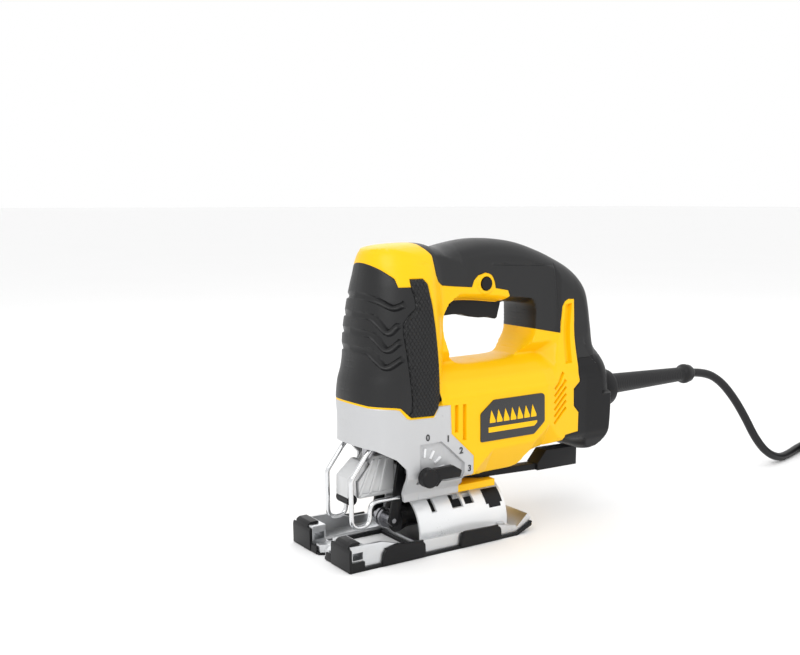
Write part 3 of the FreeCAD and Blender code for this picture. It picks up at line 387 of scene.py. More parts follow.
def nose_width(x, z, front):
    """Half width of the nose and gear case column."""
    half = level(z, [(34, 21.8), (40, 22.8), (46, 27.6), (52, 32.0), (56, 33), (126, 33), (150, 32.2),
                     (165, 31), (178, 28.8), (190, 25.6), (198, 22.5), (204, 20.0)])
    reach = 33.0
    ahead = superellipse((front + reach - x) / reach, 2.25)
    behind = superellipse((x - 68.0) / 22.0, 1.55)
    flat = level(z, [(98, 1.0), (112, 0.0)])
    behind = np.maximum(behind, flat * (x < 99.2) + flat * np.clip(1 - (x - 99.2) / 1.2, 0, 1) * (x >= 99.2))
    return half * ahead * behind


def motor_width(x, z):
    low_edge = level(x, [(90, 52), (99.3, 49.6), (115.9, 63.9), (152.5, 64.6), (166.5, 75.0), (178.2, 62.5),
                         (240, 62.0)])
    side = level(x, [(76.0, 32.6), (79.0, 34.0), (164.0, 34.0), (177.0, 31.6), (198.0, 28.6), (206.0, 27.2),
                     (236, 26.0)])
    top = level(z, [(103.4, 0.0), (112.5, 6.2), (118.5, 13.4), (124.5, 23.5), (134.0, 30.0)])
    below = np.clip(low_edge - z, 0, 60) * 0.56 + np.clip(45.0 - z, 0, 20) * 0.9
    width = side - top - below
    return np.where(x > 74, width, 0)


def rear_width(x, z):
    side = level(z, [(46, 20.0), (57, 26.0), (64, 27.2), (104, 27.0), (112, 26.4), (122, 23.6), (134, 20.4),
                     (142, 19.0)])
    crease = level(z, [(100, 172), (112, 177), (133, 183), (142, 186)])
    return np.clip(side - 1.3 * np.maximum(crease - x, 0), 0, 60)


def handle_width(x, z):
    swell = level(x, [(66, 23.5), (84, 21.0), (104, 19.4), (130, 19.0), (170, 18.6), (200, 19.0), (226, 19.4)])
    return np.clip(swell - 0.9 * np.maximum(132 - z, 0) * (x < 186), 0, 60) * (x > 64)


class Form:
    """Half width of the whole tool at any place of the side view."""

    def __init__(self):
        self.crowned = smoothed(CROWNED, 0.8)
        self.cut = straight(CUT, 0.8)
        self.opening = smoothed(closed(OPENING), 0.8)[:-1]
        self.outline = np.vstack([self.crowned[:-1], self.cut[:-1]])
        front = self.crowned[self.crowned[:, 0] < 37]
        front = front[front[:, 1] < 199.5]
        order = np.argsort(front[:, 1])
        self.front_z, self.front_x = front[order, 1], front[order, 0]
        self.opening_line = np.vstack([self.opening, self.opening[:1]])

    def width(self, p):
        x, z = p[:, 0], p[:, 1]
        front = np.interp(z, self.front_z, self.front_x)
        h = nose_width(x, z, front)
        h = softest(h, motor_width(x, z), 2.0)
        h = softest(h, rear_width(x, z), 3.0)
        h = softest(h, handle_width(x, z), 4.0)
        edge = gap_to(p, self.crowned)
        # how far in the rounding of the outer edge reaches, and its fullness
        reach = level(x, [(30, 10.0), (60, 13.0), (84, 13.0), (100, 17.0), (190, 17.0), (218, 15.0),
                          (228, 22.0), (240, 26.0)])
        reach = np.where(z < 90, level(x, [(90, 3.0), (140, 4.0), (200, 6.0), (222, 14.0), (240, 24.0)]), reach)
        tall = level(x, [(30, 26.0), (84, 24.0), (100, 20.0), (200, 20.0), (220, 22.0), (240, 29.0)])
        tall = np.where(z < 90, 30.0, tall)
        nose = (x < 40) & (z < 186)
        crown = tall * superellipse(1 - edge / reach, 2.25) + np.where(edge >= reach, 99.0, 0.0)
        h = np.where(nose, h, np.minimum(h, crown))
        hole = gap_to(p, self.opening_line)
        bore = level(z, [(124, 3.5), (132, 5.0), (150, 5.5), (162, 7.5)])
        lip = level(x, [(86, 30.0), (98, 20.0), (150, 20.0), (165, 22.0)])
        inner = lip * superellipse(1 - hole / bore, 2.1) + np.where(hole >= bore, 99.0, 0.0)
        under = ease((x - 89.5) / 1.5) * ease((143.5 - x) / 1.5) * (z > 152)
        inner = np.maximum(inner, 7.6 * under)
        h = np.minimum(h, inner)
        return np.maximum(h, 0.0)


# ---------------------------------------------------------------------------
# what is sunk into the skin or stands on it
# ---------------------------------------------------------------------------
NEAR, FAR = -1, 1
BOTH = (NEAR, FAR)


def slot_between(a, b, half):
    """Outline of a straight slot with pointed corners."""
    a, b = np.array(a, float), np.array(b, float)
    d = (b - a) / np.linalg.norm(b - a)
    n = np.array([-d[1], d[0]]) * half
    return [a + n, b + n, b - n, a - n]


VENTS = [slot_between((84.9, 79.4), (84.9, 98.0), 1.5), slot_between((91.4, 73.4), (91.4, 98.0), 1.5)]
LOUVRES = [slot_between((171.4, 74.2 + 5.0 * k), (184.0, 84.6 + 5.0 * k), 1.15) for k in range(6)]
REAR_SLOT = [(190.8, 157.4), (197.0, 158.2), (193.6, 115.6), (187.2, 115.0)]
CHEVRONS = [[(27.0, 172.0), (34.0, 168.4), (41.0, 164.0), (47.0, 165.6)],
            [(26.4, 159.0), (31.0, 157.6), (37.0, 148.6), (42.6, 152.6)],
            [(25.0, 148.0), (30.0, 146.6), (36.0, 137.6), (43.0, 142.0)],
            [(24.4, 137.0), (29.0, 135.6), (35.0, 126.6), (44.0, 131.4)]]
HANDLE_LINE = [(126.0, 188.1), (150.0, 187.0), (178.0, 185.7), (181.0, 184.0), (184.4, 162.0),
               (188.0, 139.0)]

# outline or line, how deep, how wide its wall or half its width, sides
POCKETS = ([(o, 2.6, 0.5, BOTH) for o in VENTS] + [(o, 2.0, 0.5, BOTH) for o in LOUVRES]
           + [(REAR_SLOT, 3.0, 0.6, BOTH), (SELECTOR_RECESS, RECESS_DEPTH, 0.7, (NEAR,)),
              (ring(*BUTTON, 4.9), 4.0, 0.3, (NEAR,))])
GROOVES = [(line, 2.8, 2.2, BOTH) for line in CHEVRONS] + [(HANDLE_LINE, 0.5, 0.7, BOTH)]


def knurl(p):
    """Height of the diamond pattern, 0 in its valleys and 1 on its points."""
    c, s = math.cos(KNURL_LEAN), math.sin(KNURL_LEAN)
    u = (p[:, 0] * s + p[:, 1] * c) / KNURL_PITCH
    v = (p[:, 0] * s - p[:, 1] * c) / KNURL_PITCH
    tri = [1 - np.abs(2 * (w - np.floor(w)) - 1) for w in (u, v)]
    return np.minimum(*tri)


def knurl_points(outline):
    c, s = math.cos(KNURL_LEAN), math.sin(KNURL_LEAN)
    out = []
    for i in range(-80, 240):
        for j in range(-240, 120):
            u, v = i * KNURL_PITCH / 2, j * KNURL_PITCH / 2
            out.append(((u + v) / (2 * s), (u - v) / (2 * c)))
    out = np.array(out)
    return out[depth_in(out, outline) > 2.0]


def beside(line, offsets, loop):
    """Points beside a line, at the given distances on its left."""
    nxt, prv = np.roll(line, -1, 0), np.roll(line, 1, 0)
    d = nxt - prv
    if not loop:
        d[0], d[-1] = line[1] - line[0], line[-1] - line[-2]
    d /= np.maximum(np.linalg.norm(d, axis=1), 1e-9)[:, None]
    n = np.stack([-d[:, 1], d[:, 0]], 1)
    return [line + n * o for o in offsets]


class Skin:
    """The side view cut into triangles once, then raised into the two half shells."""

    def __init__(self, form):
        self.form = form
        outline, opening = form.outline, form.opening
        self.seams = [straight(closed(o), 0.9)[:-1] for _, o, _ in REGIONS]
        loops = [outline, opening] + self.seams
        free = []
        for line in self.seams:
            free += beside(line, (-0.6, -0.3, 0.3, 0.6), True)
        for o, _, wall, _ in POCKETS:
            line = straight(closed([tuple(q) for q in o]), 0.7)[:-1]
            loops.append(line)
            free += beside(line, (-wall, wall), True)
        for x, z, _ in SCREWS:
            loops += [ring(x, z, r) for r in SCREW_RINGS]
        loops += [ring(*BUTTON, r) for r in (6.7, 7.15, 7.6)]
        for line, _, half, _ in GROOVES:
            line = smoothed(line, 0.7)
            free += [line] + beside(line, [half * k for k in (-1, -0.8, -0.4, 0.4, 0.8, 1)], False)
        fine = []
        for reach in (0.01, 0.04, 0.12, 0.35, 0.7, 1.2, 1.9, 2.8, 3.9, 5.2, 6.8):
            where = fine if reach < 0.2 else free
            where += beside(outline, (reach, -reach), True) + beside(opening, (reach, -reach), True)
        free.append(knurl_points(np.array(SIDE_PAD)))
        grid = 1.25
        gx, gz = np.meshgrid(np.arange(18.0, 242.0, grid), np.arange(33.5, 206.0, grid))
        gx = gx + (np.arange(gx.shape[0]) % 2)[:, None] * grid / 2
        even = np.stack([gx.ravel(), gz.ravel()], 1)
        free.append(even[depth_in(even, np.array(SIDE_PAD)) < 1.8])
        self.cut_up(loops, free, np.vstack(fine))

    def cut_up(self, loops, free, fine):
        form = self.form
        points, edges = [], []
        for line in loops:
            keep = depth_in(line, form.outline) > -1.5
            first = len(points)
            spot = {}
            for k, ok in enumerate(keep):
                if ok:
                    spot[k] = first + len(spot)
                    points.append(line[k])
            for k in range(len(line)):
                j = (k + 1) % len(line)
                if k in spot and j in spot:
                    edges.append((spot[k], spot[j]))
        fixed = np.array(points)
        loose = np.vstack(free)
        loose = loose[depth_in(loose, form.outline) > 0.006]
        loose = loose[~within(loose, form.opening)]
        cells = {}
        size = 0.45
        for k, (x, z) in enumerate(fixed):
            cells.setdefault((int(x // size), int(z // size)), []).append((x, z))
        kept = []
        for x, z in loose:
            i, j = int(x // size), int(z // size)
            close = 0.2
            clear = all((x - a) ** 2 + (z - b) ** 2 > close ** 2
                        for di in (-1, 0, 1) for dj in (-1, 0, 1)
                        for a, b in cells.get((i + di, j + dj), ()))
            if clear:
                cells.setdefault((i, j), []).append((x, z))
                kept.append((x, z))
        fine = fine[(depth_in(fine, form.outline) > 0.006) & (depth_in(fine, form.opening) < -0.006)]
        everything = [Vector(p) for p in fixed] + [Vector(p) for p in kept] + [Vector(p) for p in fine]
        verts, _, faces, *_ = delaunay_2d_cdt(everything, edges, [], 0, 1e-5, False)
        self.p = np.array([tuple(v) for v in verts])
        tri = np.array([f for f in faces if len(f) == 3])
        middle = self.p[tri].mean(1)
        inside = within(middle, form.outline) & ~within(middle, form.opening)
        tri, middle = tri[inside], middle[inside]
        a, b, c = (self.p[tri[:, k]] for k in range(3))
        area = (b[:, 0] - a[:, 0]) * (c[:, 1] - a[:, 1]) - (c[:, 0] - a[:, 0]) * (b[:, 1] - a[:, 1])
        tri, middle = tri[np.abs(area) > 1e-6], middle[np.abs(area) > 1e-6]
        area = area[np.abs(area) > 1e-6]
        tri[area < 0] = tri[area < 0][:, ::-1]
        self.tri = tri                      # anticlockwise with x right and z up: they face the near side
        self.owner = np.full(len(tri), "housing", dtype=object)
        for name, outline, _ in REGIONS[::-1]:
            self.owner[within(middle, np.array(outline, float))] = name

    def heights(self):
        """Half width with seams and sunk features, for the near side and the far side."""
        p = self.p
        base = self.form.width(p)
        seam = np.full(len(p), 1e9)
        for line in self.seams:
            seam = np.minimum(seam, gap_to(p, np.vstack([line, line[:1]])))
        base = base - 0.45 * (1 - ease(seam / 0.6)) * ease(base / 3.0)
        pad = depth_in(p, np.array(SIDE_PAD))
        base = base + 1.1 * ease(pad / 1.4) * (pad > 0)
        around = np.hypot(p[:, 0] - BUTTON[0], p[:, 1] - BUTTON[1])
        base = base + 0.9 * ease((7.6 - around) / 0.9) * ease((around - 3.0) / 0.5)
        base = base + 0.75 * (knurl(p) - 1) * ease((pad - 2.2) / 0.5) * (pad > 0)
        out = {}
        for side in BOTH:
            h = base.copy()
            for o, deep, wall, sides in POCKETS:
                if side in sides:
                    h = h - deep * ease(depth_in(p, np.array([tuple(q) for q in o])) / wall)
            for line, deep, half, sides in GROOVES:
                if side in sides:
                    g = gap_to(p, smoothed(line, 0.7))
                    h = h - deep * np.sqrt(np.clip(1 - (g / half) ** 2, 0, 1)) * ease(base / 6.0)
            if side == FAR:
                for x, z, seat in SCREWS:
                    inside = np.hypot(p[:, 0] - x, p[:, 1] - z) < SCREW_BORE
                    h = np.where(inside, np.minimum(h, seat), h)
            out[side] = np.maximum(h, 0.02)
        return out


def mesh_piece(name, points, faces, material, body, replaced):
    mesh = bpy.data.meshes.new(name)
    mesh.from_pydata([tuple(q) for q in points], [], [tuple(int(i) for i in f) for f in faces])
    mesh.validate()
    return dress(name, mesh, material, body, (replaced,))


def shell_piece(skin, h, side, owner, thick):
    """One region of a half shell as a closed wall: outer skin, inner skin and rim."""
    p, tri = skin.p, skin.tri
    outer = np.stack([p[:, 0], side * h, p[:, 1]], 1)
    every = tri if side == NEAR else tri[:, ::-1]
    a, b, c = (outer[every[:, k]] for k in range(3))
    n = np.cross(b - a, c - a)
    normal = np.zeros_like(outer)
    for k in range(3):
        np.add.at(normal, every[:, k], n)
    normal /= np.maximum(np.linalg.norm(normal, axis=1), 1e-12)[:, None]
    inner = outer - normal * thick
    inner[:, 1] = side * np.maximum(side * inner[:, 1], 0.02)
    mine = every[skin.owner == owner]
    used, flat = np.unique(mine, return_inverse=True)
    mine = flat.reshape(mine.shape)
    count = len(used)
    edges = {}
    for f in mine:
        for i, j in ((f[0], f[1]), (f[1], f[2]), (f[2], f[0])):
            edges[(i, j)] = edges.get((i, j), 0) + 1
    rim = [(j, i, i + count, j + count) for (i, j) in edges if (j, i) not in edges]
    faces = [tuple(f) for f in mine] + [(f[2] + count, f[1] + count, f[0] + count) for f in mine] + rim
    return np.vstack([outer[used], inner[used]]), faces


def make_shells(finish):
    skin = Skin(Form())
    heights = skin.heights()
    sides = {NEAR: "left", FAR: "right"}
    for owner, material in (("housing", "yellow"), ("gear_cover", "case"), ("nose_grip", "grip"),
                            ("handle_grip", "grip")):
        for side, word in sides.items():
            points, faces = shell_piece(skin, heights[side], side, owner, SHELL_WALL)
            mesh_piece("%s_%s_shell" % (word, owner), at_many(points), faces, finish[material], "housing",
                       "%s_%s" % (word, owner))
    for owner, node, material in (("side_pad", "side_pads", "pad"), ("rear_cap", "rear_cap", "black")):
        points, faces = join([shell_piece(skin, heights[side], side, owner, SHELL_WALL) for side in sides])
        mesh_piece(owner + "_shell", at_many(points), faces, finish[material], "housing", node)


# ---------------------------------------------------------------------------
# cord
# ---------------------------------------------------------------------------
CORD_D = 7.0
CORD_EXIT = (349.0, 0.0, 90.0)
CORD_ROUTE = [CORD_EXIT, (366.0, 0.0, 88.8), (382.5, -2.5, 80.5), (397.0, -6.0, 65.0), (409.5, -9.5, 46.5),
              (421.0, -12.0, 27.5), (436.0, -13.5, 12.0), (456.0, -12.5, 3.6), (480.0, -6.0, 3.6),
              (503.0, 3.0, 3.6), (526.0, 9.5, 3.6)]
COIL_CENTRE = (548.0, -36.0)
COIL_START = 90.0
# radius and height of each turn, in the order that they are wound
COIL_TURNS = [(45.5, 3.6), (38.5, 3.6), (31.5, 3.6), (31.5, 10.6), (38.5, 10.6), (45.5, 10.6), (45.5, 17.6),
              (38.5, 17.6), (31.5, 17.6)]
COIL_STEPS = 24
CHANGE = 0.16              # share of a turn in which it moves to the next place
TAIL_R = 31.2              # bend with which the plug end turns back over the coil
TAIL_START = 60.0
TAIL_TURN = 150.0
TAIL_STEP = 15.0            # degrees between the points of that bend
PLUG_Z = 34.3


def spread_out(radius, step_angle):
    """Radius of the spline's points for a bend of this radius."""
    return radius / (0.75 + 0.25 * math.cos(step_angle))


def coil_points():
    """Points of the cord's own spline round the coil, clockwise from above, and back over it to the plug."""
    step = 2 * math.pi / COIL_STEPS
    total = len(COIL_TURNS) - 1 + (COIL_START - TAIL_START) / 360.0
    out = []
    for k in range(int(total * COIL_STEPS + 0.5)):
        t = k / COIL_STEPS
        turn = int(t)
        r, z = COIL_TURNS[turn]
        part = (t - turn - (1 - CHANGE)) / CHANGE
        if part > 0 and turn + 1 < len(COIL_TURNS):
            r1, z1 = COIL_TURNS[turn + 1]
            swing = math.pi / 2 * (part * part * (3 - 2 * part))
            outward = r1 > r
            r += (r1 - r) * (math.sin(swing) if outward else 1 - math.cos(swing))
            z += (z1 - z) * math.sin(swing)
        a = math.radians(COIL_START) - t * 2 * math.pi
        r = spread_out(r, step)
        out.append((COIL_CENTRE[0] + r * math.cos(a), COIL_CENTRE[1] + r * math.sin(a), z))
    r, z = COIL_TURNS[-1]
    a0 = math.radians(TAIL_START)
    bx = COIL_CENTRE[0] + (r - TAIL_R) * math.cos(a0)
    by = COIL_CENTRE[1] + (r - TAIL_R) * math.sin(a0)
    count = round(TAIL_TURN / TAIL_STEP)
    for k in range(count + 1):
        a = a0 - math.radians(TAIL_TURN) * k / count
        far = spread_out(TAIL_R, math.radians(TAIL_STEP)) if 0 < k < count else TAIL_R
        lift = k / count
        out.append((bx + far * math.cos(a), by + far * math.sin(a),
                    z + (PLUG_Z - z) * lift * lift * (3 - 2 * lift)))
    return out


def make_cord(finish):
    data = bpy.data.curves.new("mains_cord", "CURVE")
    data.dimensions = "3D"
    data.bevel_depth = CORD_D / 2 * MM
    data.bevel_resolution = 4
    data.resolution_u = 6
    data.use_fill_caps = True
    spline = data.splines.new("NURBS")
    points = CORD_ROUTE + coil_points()
    spline.points.add(len(points) - 1)
    for knot, q in zip(spline.points, points):
        knot.co = (*at(*q), 1.0)
    spline.order_u = 3
    spline.use_endpoint_u = True
    data.materials.append(finish["cord"])
    cord = bpy.data.objects.new("mains_cord", data)
    bpy.context.collection.objects.link(cord)
    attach(cord, "housing")
    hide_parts("cord", "cord_coil")
    tuple(at(*CORD_EXIT))


# ---------------------------------------------------------------------------
# metal and moulded pieces
# ---------------------------------------------------------------------------
GUARD_PATH = [(33.0, 76.0), (25.6, 68.4), (14.2, 53.4), (14.2, 20.6), (27.9, 20.6), (27.9, 36.4),
              (50.4, 36.4)]
RELIEF_RIBS = 38
SAW_TEETH = 7
TICK_FROM, TICK_TO, TICK_HALF = 11.5, 17.5, 0.8


def join(parts):
    """One list of points and faces from several."""
    points, faces = [], []
    for some, more in parts:
        first = len(points)
        points += [tuple(q) for q in some]
        faces += [tuple(i + first for i in f) for f in more]
    return points, faces


def bend(path, radius, step=1.2):
    """Rounds the corners of a bent wire's path, in millimetres."""
    pts = [np.array(q, float) for q in path]
    out = [pts[0]]
    for a, b, c in zip(pts, pts[1:], pts[2:]):
        d0, d1 = (b - a) / np.linalg.norm(b - a), (c - b) / np.linalg.norm(c - b)
        turn = math.acos(max(-1.0, min(1.0, float(d0 @ d1))))
        cut = min(radius * math.tan(turn / 2), 0.48 * np.linalg.norm(b - a), 0.48 * np.linalg.norm(c - b))
        p0, p1 = b - d0 * cut, b + d1 * cut
        n = max(2, int(turn * radius / step) + 1)
        for k in range(n + 1):
            t = k / n
            out.append((1 - t) ** 2 * p0 + 2 * t * (1 - t) * b + t * t * p1)
    out.append(pts[-1])
    return out


def pipe(path, radius, sides=16):
    """Round bar along a path, closed at both ends."""
    pts = [np.array(q, float) for q in path]
    points, faces = [], []
    side = None
    for k, q in enumerate(pts):
        d = pts[min(k + 1, len(pts) - 1)] - pts[max(k - 1, 0)]
        d = d / np.linalg.norm(d)
        if side is None:
            side = np.cross(d, (0.0, 1.0, 0.0) if abs(d[1]) < 0.9 else (1.0, 0.0, 0.0))
        side = side - d * (side @ d)
        side = side / np.linalg.norm(side)
        up = np.cross(d, side)
        for j in range(sides):
            t = 2 * math.pi * j / sides
            points.append(q + radius * (math.cos(t) * side + math.sin(t) * up))
        if k:
            a, b = (k - 1) * sides, k * sides
            faces += [(a + j, a + (j + 1) % sides, b + (j + 1) % sides, b + j) for j in range(sides)]
    faces.append(tuple(range(sides))[::-1])
    last = (len(pts) - 1) * sides
    faces.append(tuple(last + j for j in range(sides)))
    return points, faces


def turned(profile, start, ahead, sides=48):
    """Turned piece: (distance, radius) pairs along a line. It ends in a pole at a radius of 0."""
    start, ahead = np.array(start, float), np.array(ahead, float)
    ahead = ahead / np.linalg.norm(ahead)
    side = np.cross(ahead, (0.0, 0.0, 1.0))
    side = side / np.linalg.norm(side)
    up = np.cross(side, ahead)
    points, faces = [], []
    rings = []
    for s, r in profile:
        centre = start + ahead * s
        if r < 1e-6:
            rings.append([len(points)] * sides)
            points.append(centre)
            continue
        rings.append(list(range(len(points), len(points) + sides)))
        for j in range(sides):
            t = 2 * math.pi * j / sides
            points.append(centre + r * (math.cos(t) * side + math.sin(t) * up))
    for a, b in zip(rings, rings[1:]):
        for j in range(sides):
            k = (j + 1) % sides
            quad = []
            for i in (a[j], b[j], b[k], a[k]):
                if i not in quad:
                    quad.append(i)
            faces.append(tuple(quad))
    return points, faces


def slab(outline, y0, y1):
    """Side-view outline between two planes across the tool."""
    n = len(outline)
    points = [(x, y0, z) for x, z in outline] + [(x, y1, z) for x, z in outline]
    turn = sum(a[0] * b[1] - b[0] * a[1] for a, b in zip(outline, list(outline[1:]) + [outline[0]]))
    order = list(range(n)) if turn > 0 else list(range(n))[::-1]
    faces = [tuple(order), tuple(i + n for i in order[::-1])]
    faces += [(order[k], order[k] + n, order[(k + 1) % n] + n, order[(k + 1) % n]) for k in range(n)]
    return points, faces


def solid(name, parts, material, body, replaced=(), edge=0.0):
    """A finished piece from parts laid out in millimetres, with its sharp edges broken by edge."""
    points, faces = join(parts)
    mesh = bpy.data.meshes.new(name)
    mesh.from_pydata([tuple(q) for q in at_many(points)], [], faces)
    work = bmesh.new()
    work.from_mesh(mesh)
    bmesh.ops.recalc_face_normals(work, faces=work.faces[:])
    if edge:
        broken = [e for e in work.edges if len(e.link_faces) == 2 and e.calc_face_angle(0) > 0.6]
        bmesh.ops.bevel(work, geom=broken, offset=edge * MM, segments=3, profile=0.6, affect="EDGES",
                        clamp_overlap=True)
    work.to_mesh(mesh)
    work.free()
    return dress(name, mesh, material, body, replaced)


def dress(name, mesh, material, body, replaced=(), sharp=38.0):
    """A piece from a mesh, smooth except at its sharp edges, with its material, fixed to its body, and the
    parts that it replaces hidden.
    """
    mesh.shade_smooth()
    mesh.set_sharp_from_angle(angle=math.radians(sharp))
    if material not in list(mesh.materials):
        mesh.materials.clear()
        mesh.materials.append(material)
    piece = bpy.data.objects.new(name, mesh)
    bpy.context.collection.objects.link(piece)
    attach(piece, body)
    if replaced:
        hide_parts(*replaced)
    word = material.name.split(".")[0]      # Blender adds a number where the frame has the name already
    return piece


def softened(name, node, material, body, edge, second=None, split=None):
    """The shape of a made part with its sharp edges broken, behind split in a second colour."""
    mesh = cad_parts[node].data.copy()
    mesh.name = name
    work = bmesh.new()
    work.from_mesh(mesh)
    bmesh.ops.remove_doubles(work, verts=work.verts[:], dist=1e-6)
    bmesh.ops.dissolve_limit(work, angle_limit=math.radians(1.0), verts=work.verts[:], edges=work.edges[:])
    broken = [e for e in work.edges if len(e.link_faces) == 2 and e.calc_face_angle(0) > 0.6
              and e.calc_length() > 2.2 * edge * MM]
    bmesh.ops.bevel(work, geom=broken, offset=edge * MM, segments=2, profile=0.6, affect="EDGES",
                    clamp_overlap=True)
    mesh.materials.clear()
    mesh.materials.append(material)
    if second:
        bmesh.ops.bisect_plane(work, geom=work.verts[:] + work.edges[:] + work.faces[:], dist=1e-6,
                               plane_co=at(split, 0, 0), plane_no=(1, 0, 0))
        mesh.materials.append(second)
        for face in work.faces:
            face.material_index = int(face.calc_center_median().x > at(split, 0, 0)[0])
    bmesh.ops.triangulate(work, faces=[f for f in work.faces if len(f.verts) > 4])
    work.to_mesh(mesh)
    work.free()
    return dress(name, mesh, material, body, (node,))


def make_guard(finish):
    wires = []
    for side in BOTH:
        path = bend([(x, side * 16.0, z) for x, z in GUARD_PATH], 6.6)
        wires.append(pipe(path, 1.6))
    solid("wire_guard_pair", wires, finish["wire"], "housing", ("wire_guard",))


def make_relief(finish):
    profile = [(0.0, 0.0), (0.0, 4.0), (9.0, 4.0), (9.0, 8.6), (30.0, 8.6), (31.5, 7.9)]
    for k in range(RELIEF_RIBS):
        s = 33.0 + 2 * k
        r = 7.9 - 2.2 * (s - 33.0) / 80.0
        profile += [(s, r), (s + 0.5, r - 0.12), (s + 1.0, r - 0.12), (s + 1.5, r)]
    profile += [(111.5, 5.6), (112.5, 6.2), (113.6, 7.6), (115.0, 8.0), (117.0, 8.0), (118.2, 7.6),
                (121.0, 7.2), (124.0, 5.4), (125.0, 4.6), (125.0, 0.0)]
    solid("strain_relief_sleeve", [turned(profile, (224.0, 0, 90.0), (1, 0, 0))], finish["cord"], "housing",
          ("strain_relief",))
    boss = [(0.0, 0.0), (0.0, 13.0), (4.0, 14.6), (11.0, 14.6), (13.0, 13.8), (13.4, 12.6), (13.4, 10.4),
            (11.0, 10.2), (11.0, 0.0)]
    solid("rear_boss", [turned(boss, (238.6, 0, 88.0), (1, 0, 0))], finish["black"], "housing")


def rounded(outline, radius):
    """The outline with its corners rounded."""
    loop = [outline[-1]] + list(outline) + [outline[0]]
    out = []
    for a, b, c in zip(loop, loop[1:], loop[2:]):
        a, b, c = (np.array(q, float) for q in (a, b, c))
        d0, d1 = (a - b) / np.linalg.norm(a - b), (c - b) / np.linalg.norm(c - b)
        cut = min(radius, 0.45 * np.linalg.norm(a - b), 0.45 * np.linalg.norm(c - b))
        p0, p1 = b + d0 * cut, b + d1 * cut
        out += [tuple((1 - t) ** 2 * p0 + 2 * t * (1 - t) * b + t * t * p1) for t in (0, 0.25, 0.5, 0.75, 1)]
    return out


def mirror_y(part):
    points, faces = part
    return [(x, -y, z) for x, y, z in points], [tuple(f)[::-1] for f in faces]


def paired(*parts):
    return list(parts) + [mirror_y(q) for q in parts]


def arch(x0, x1, from_angle, to_angle, r0, r1, steps=8):
    """Strip bent over the saddle, angles in degrees from straight up towards the near side."""
    points, faces = [], []
    for k in range(steps + 1):
        a = math.radians(from_angle + (to_angle - from_angle) * k / steps)
        points += [(x, -r * math.sin(a), TILT_AXIS_Z + r * math.cos(a)) for x,
                   r in ((x0, r0), (x1, r0), (x1, r1), (x0, r1))]
    for k in range(steps):
        i, j = 4 * k, 4 * k + 4
        faces += [(i + m, i + (m + 1) % 4, j + (m + 1) % 4, j + m) for m in range(4)]
    faces += [(3, 2, 1, 0), tuple(4 * steps + m for m in range(4))]
    return points, faces


def make_shoe_details(finish):
    """Front caps and side tabs of the overshoe, and the soft tabs on the saddle."""
    cap = rounded([(-0.9, 0.2), (1.0, 0.2), (1.0, 15.0), (0.4, 15.8), (-0.4, 15.4), (-0.9, 13.4)], 0.5)
    lip = rounded([(-0.4, 14.6), (0.8, 14.6), (0.9, 17.2), (8.6, 17.2), (8.2, 18.8), (2.6, 18.8), (0.6, 17.6)],
                  0.4)
    low = rounded([(-0.6, 0.2), (1.4, 0.2), (1.4, 5.4), (-0.2, 5.4)], 0.5)
    tab = rounded([(23.0, 0.4), (56.4, 0.4), (56.0, 9.4), (54.4, 11.2), (40.0, 12.6), (34.0, 13.6),
                   (27.4, 12.0), (24.4, 8.6)], 1.6)
    rear_tab = rounded([(84.6, 0.4), (119.6, 0.4), (118.8, 8.8), (116.0, 10.8), (88.4, 11.6), (86.0, 9.8)], 1.6)
    solid("overshoe_caps", paired(slab(cap, 14.6, 39.3)), finish["black"], "shoe", edge=0.4)
    solid("overshoe_lips", paired(slab(lip, 19.0, 36.0), slab(low, 6.4, 15.4)), finish["black"], "shoe",
          edge=0.3)
    solid("overshoe_tabs", paired(slab(tab, 37.2, 39.9), slab(rear_tab, 37.2, 39.9)), finish["black"], "shoe",
          edge=0.45)
    tabs = [arch(117.0, 131.0, 38.0, 62.0, 27.0, 28.2), arch(119.0, 129.0, 58.0, 68.0, 27.0, 28.15)]
    solid("saddle_tabs", paired(*tabs), finish["black"], "shoe", edge=0.1)


def make_clamp_details(finish):
    """Ribs on the cheeks of the blade clamp, and the soft end of its lever."""
    ribs = []
    for k in range(3):
        x = 34.0 + 5.4 * k
        lean = 10.5 - 2.0 * k
        ribs.append(slab([(x, 63.0), (x + 2.4, 63.0), (x + 2.4 - lean, 40.0), (x - lean, 40.0)], -9.9, -8.8))
    ribs.append(slab(rounded([(24.9, 38.6), (50.6, 38.6), (50.6, 41.0), (25.0, 41.0)], 0.6), -9.9, -8.8))
    solid("clamp_ribs", paired(*ribs), finish["zinc"], "plunger", edge=0.35)
    tip = turned([(0.0, 0.0), (0.0, 2.6), (0.8, 3.9), (15.4, 3.9), (16.2, 2.6), (16.2, 0.0)],
                 (19.6, -8.1, 37.4), (0, 1, 0), 32)
    solid("lever_tip", [tip], finish["black"], "clamp_lever")


def make_badges(finish):
    """Black plates with a bar and a row of saw teeth in the shell's colour."""
    plate = rounded([(104.6, 70.0), (151.3, 70.0), (160.9, 78.0), (160.4, 97.0), (158.0, 98.5), (115.5, 98.3),
                     (104.4, 89.7)], 1.2)
    solid("side_plates", paired(slab(plate, 33.4, 34.7)), finish["badge"], "housing", ("badges",), edge=0.3)
    marks = [slab([(111.0, 76.0), (151.0, 76.0), (153.6, 78.2), (153.6, 79.6), (111.0, 79.6)], 34.4, 34.95)]
    for k in range(SAW_TEETH):
        x = 112.0 + 6.0 * k
        tooth = [(x, 82.6), (x + 4.8, 82.6), (x + 4.8, 84.2), (x + 1.2, 91.4), (x, 84.6)]
        marks.append(slab(tooth, 34.4, 34.95))
    solid("plate_marks", paired(*marks), finish["yellow"], "housing", edge=0.1)


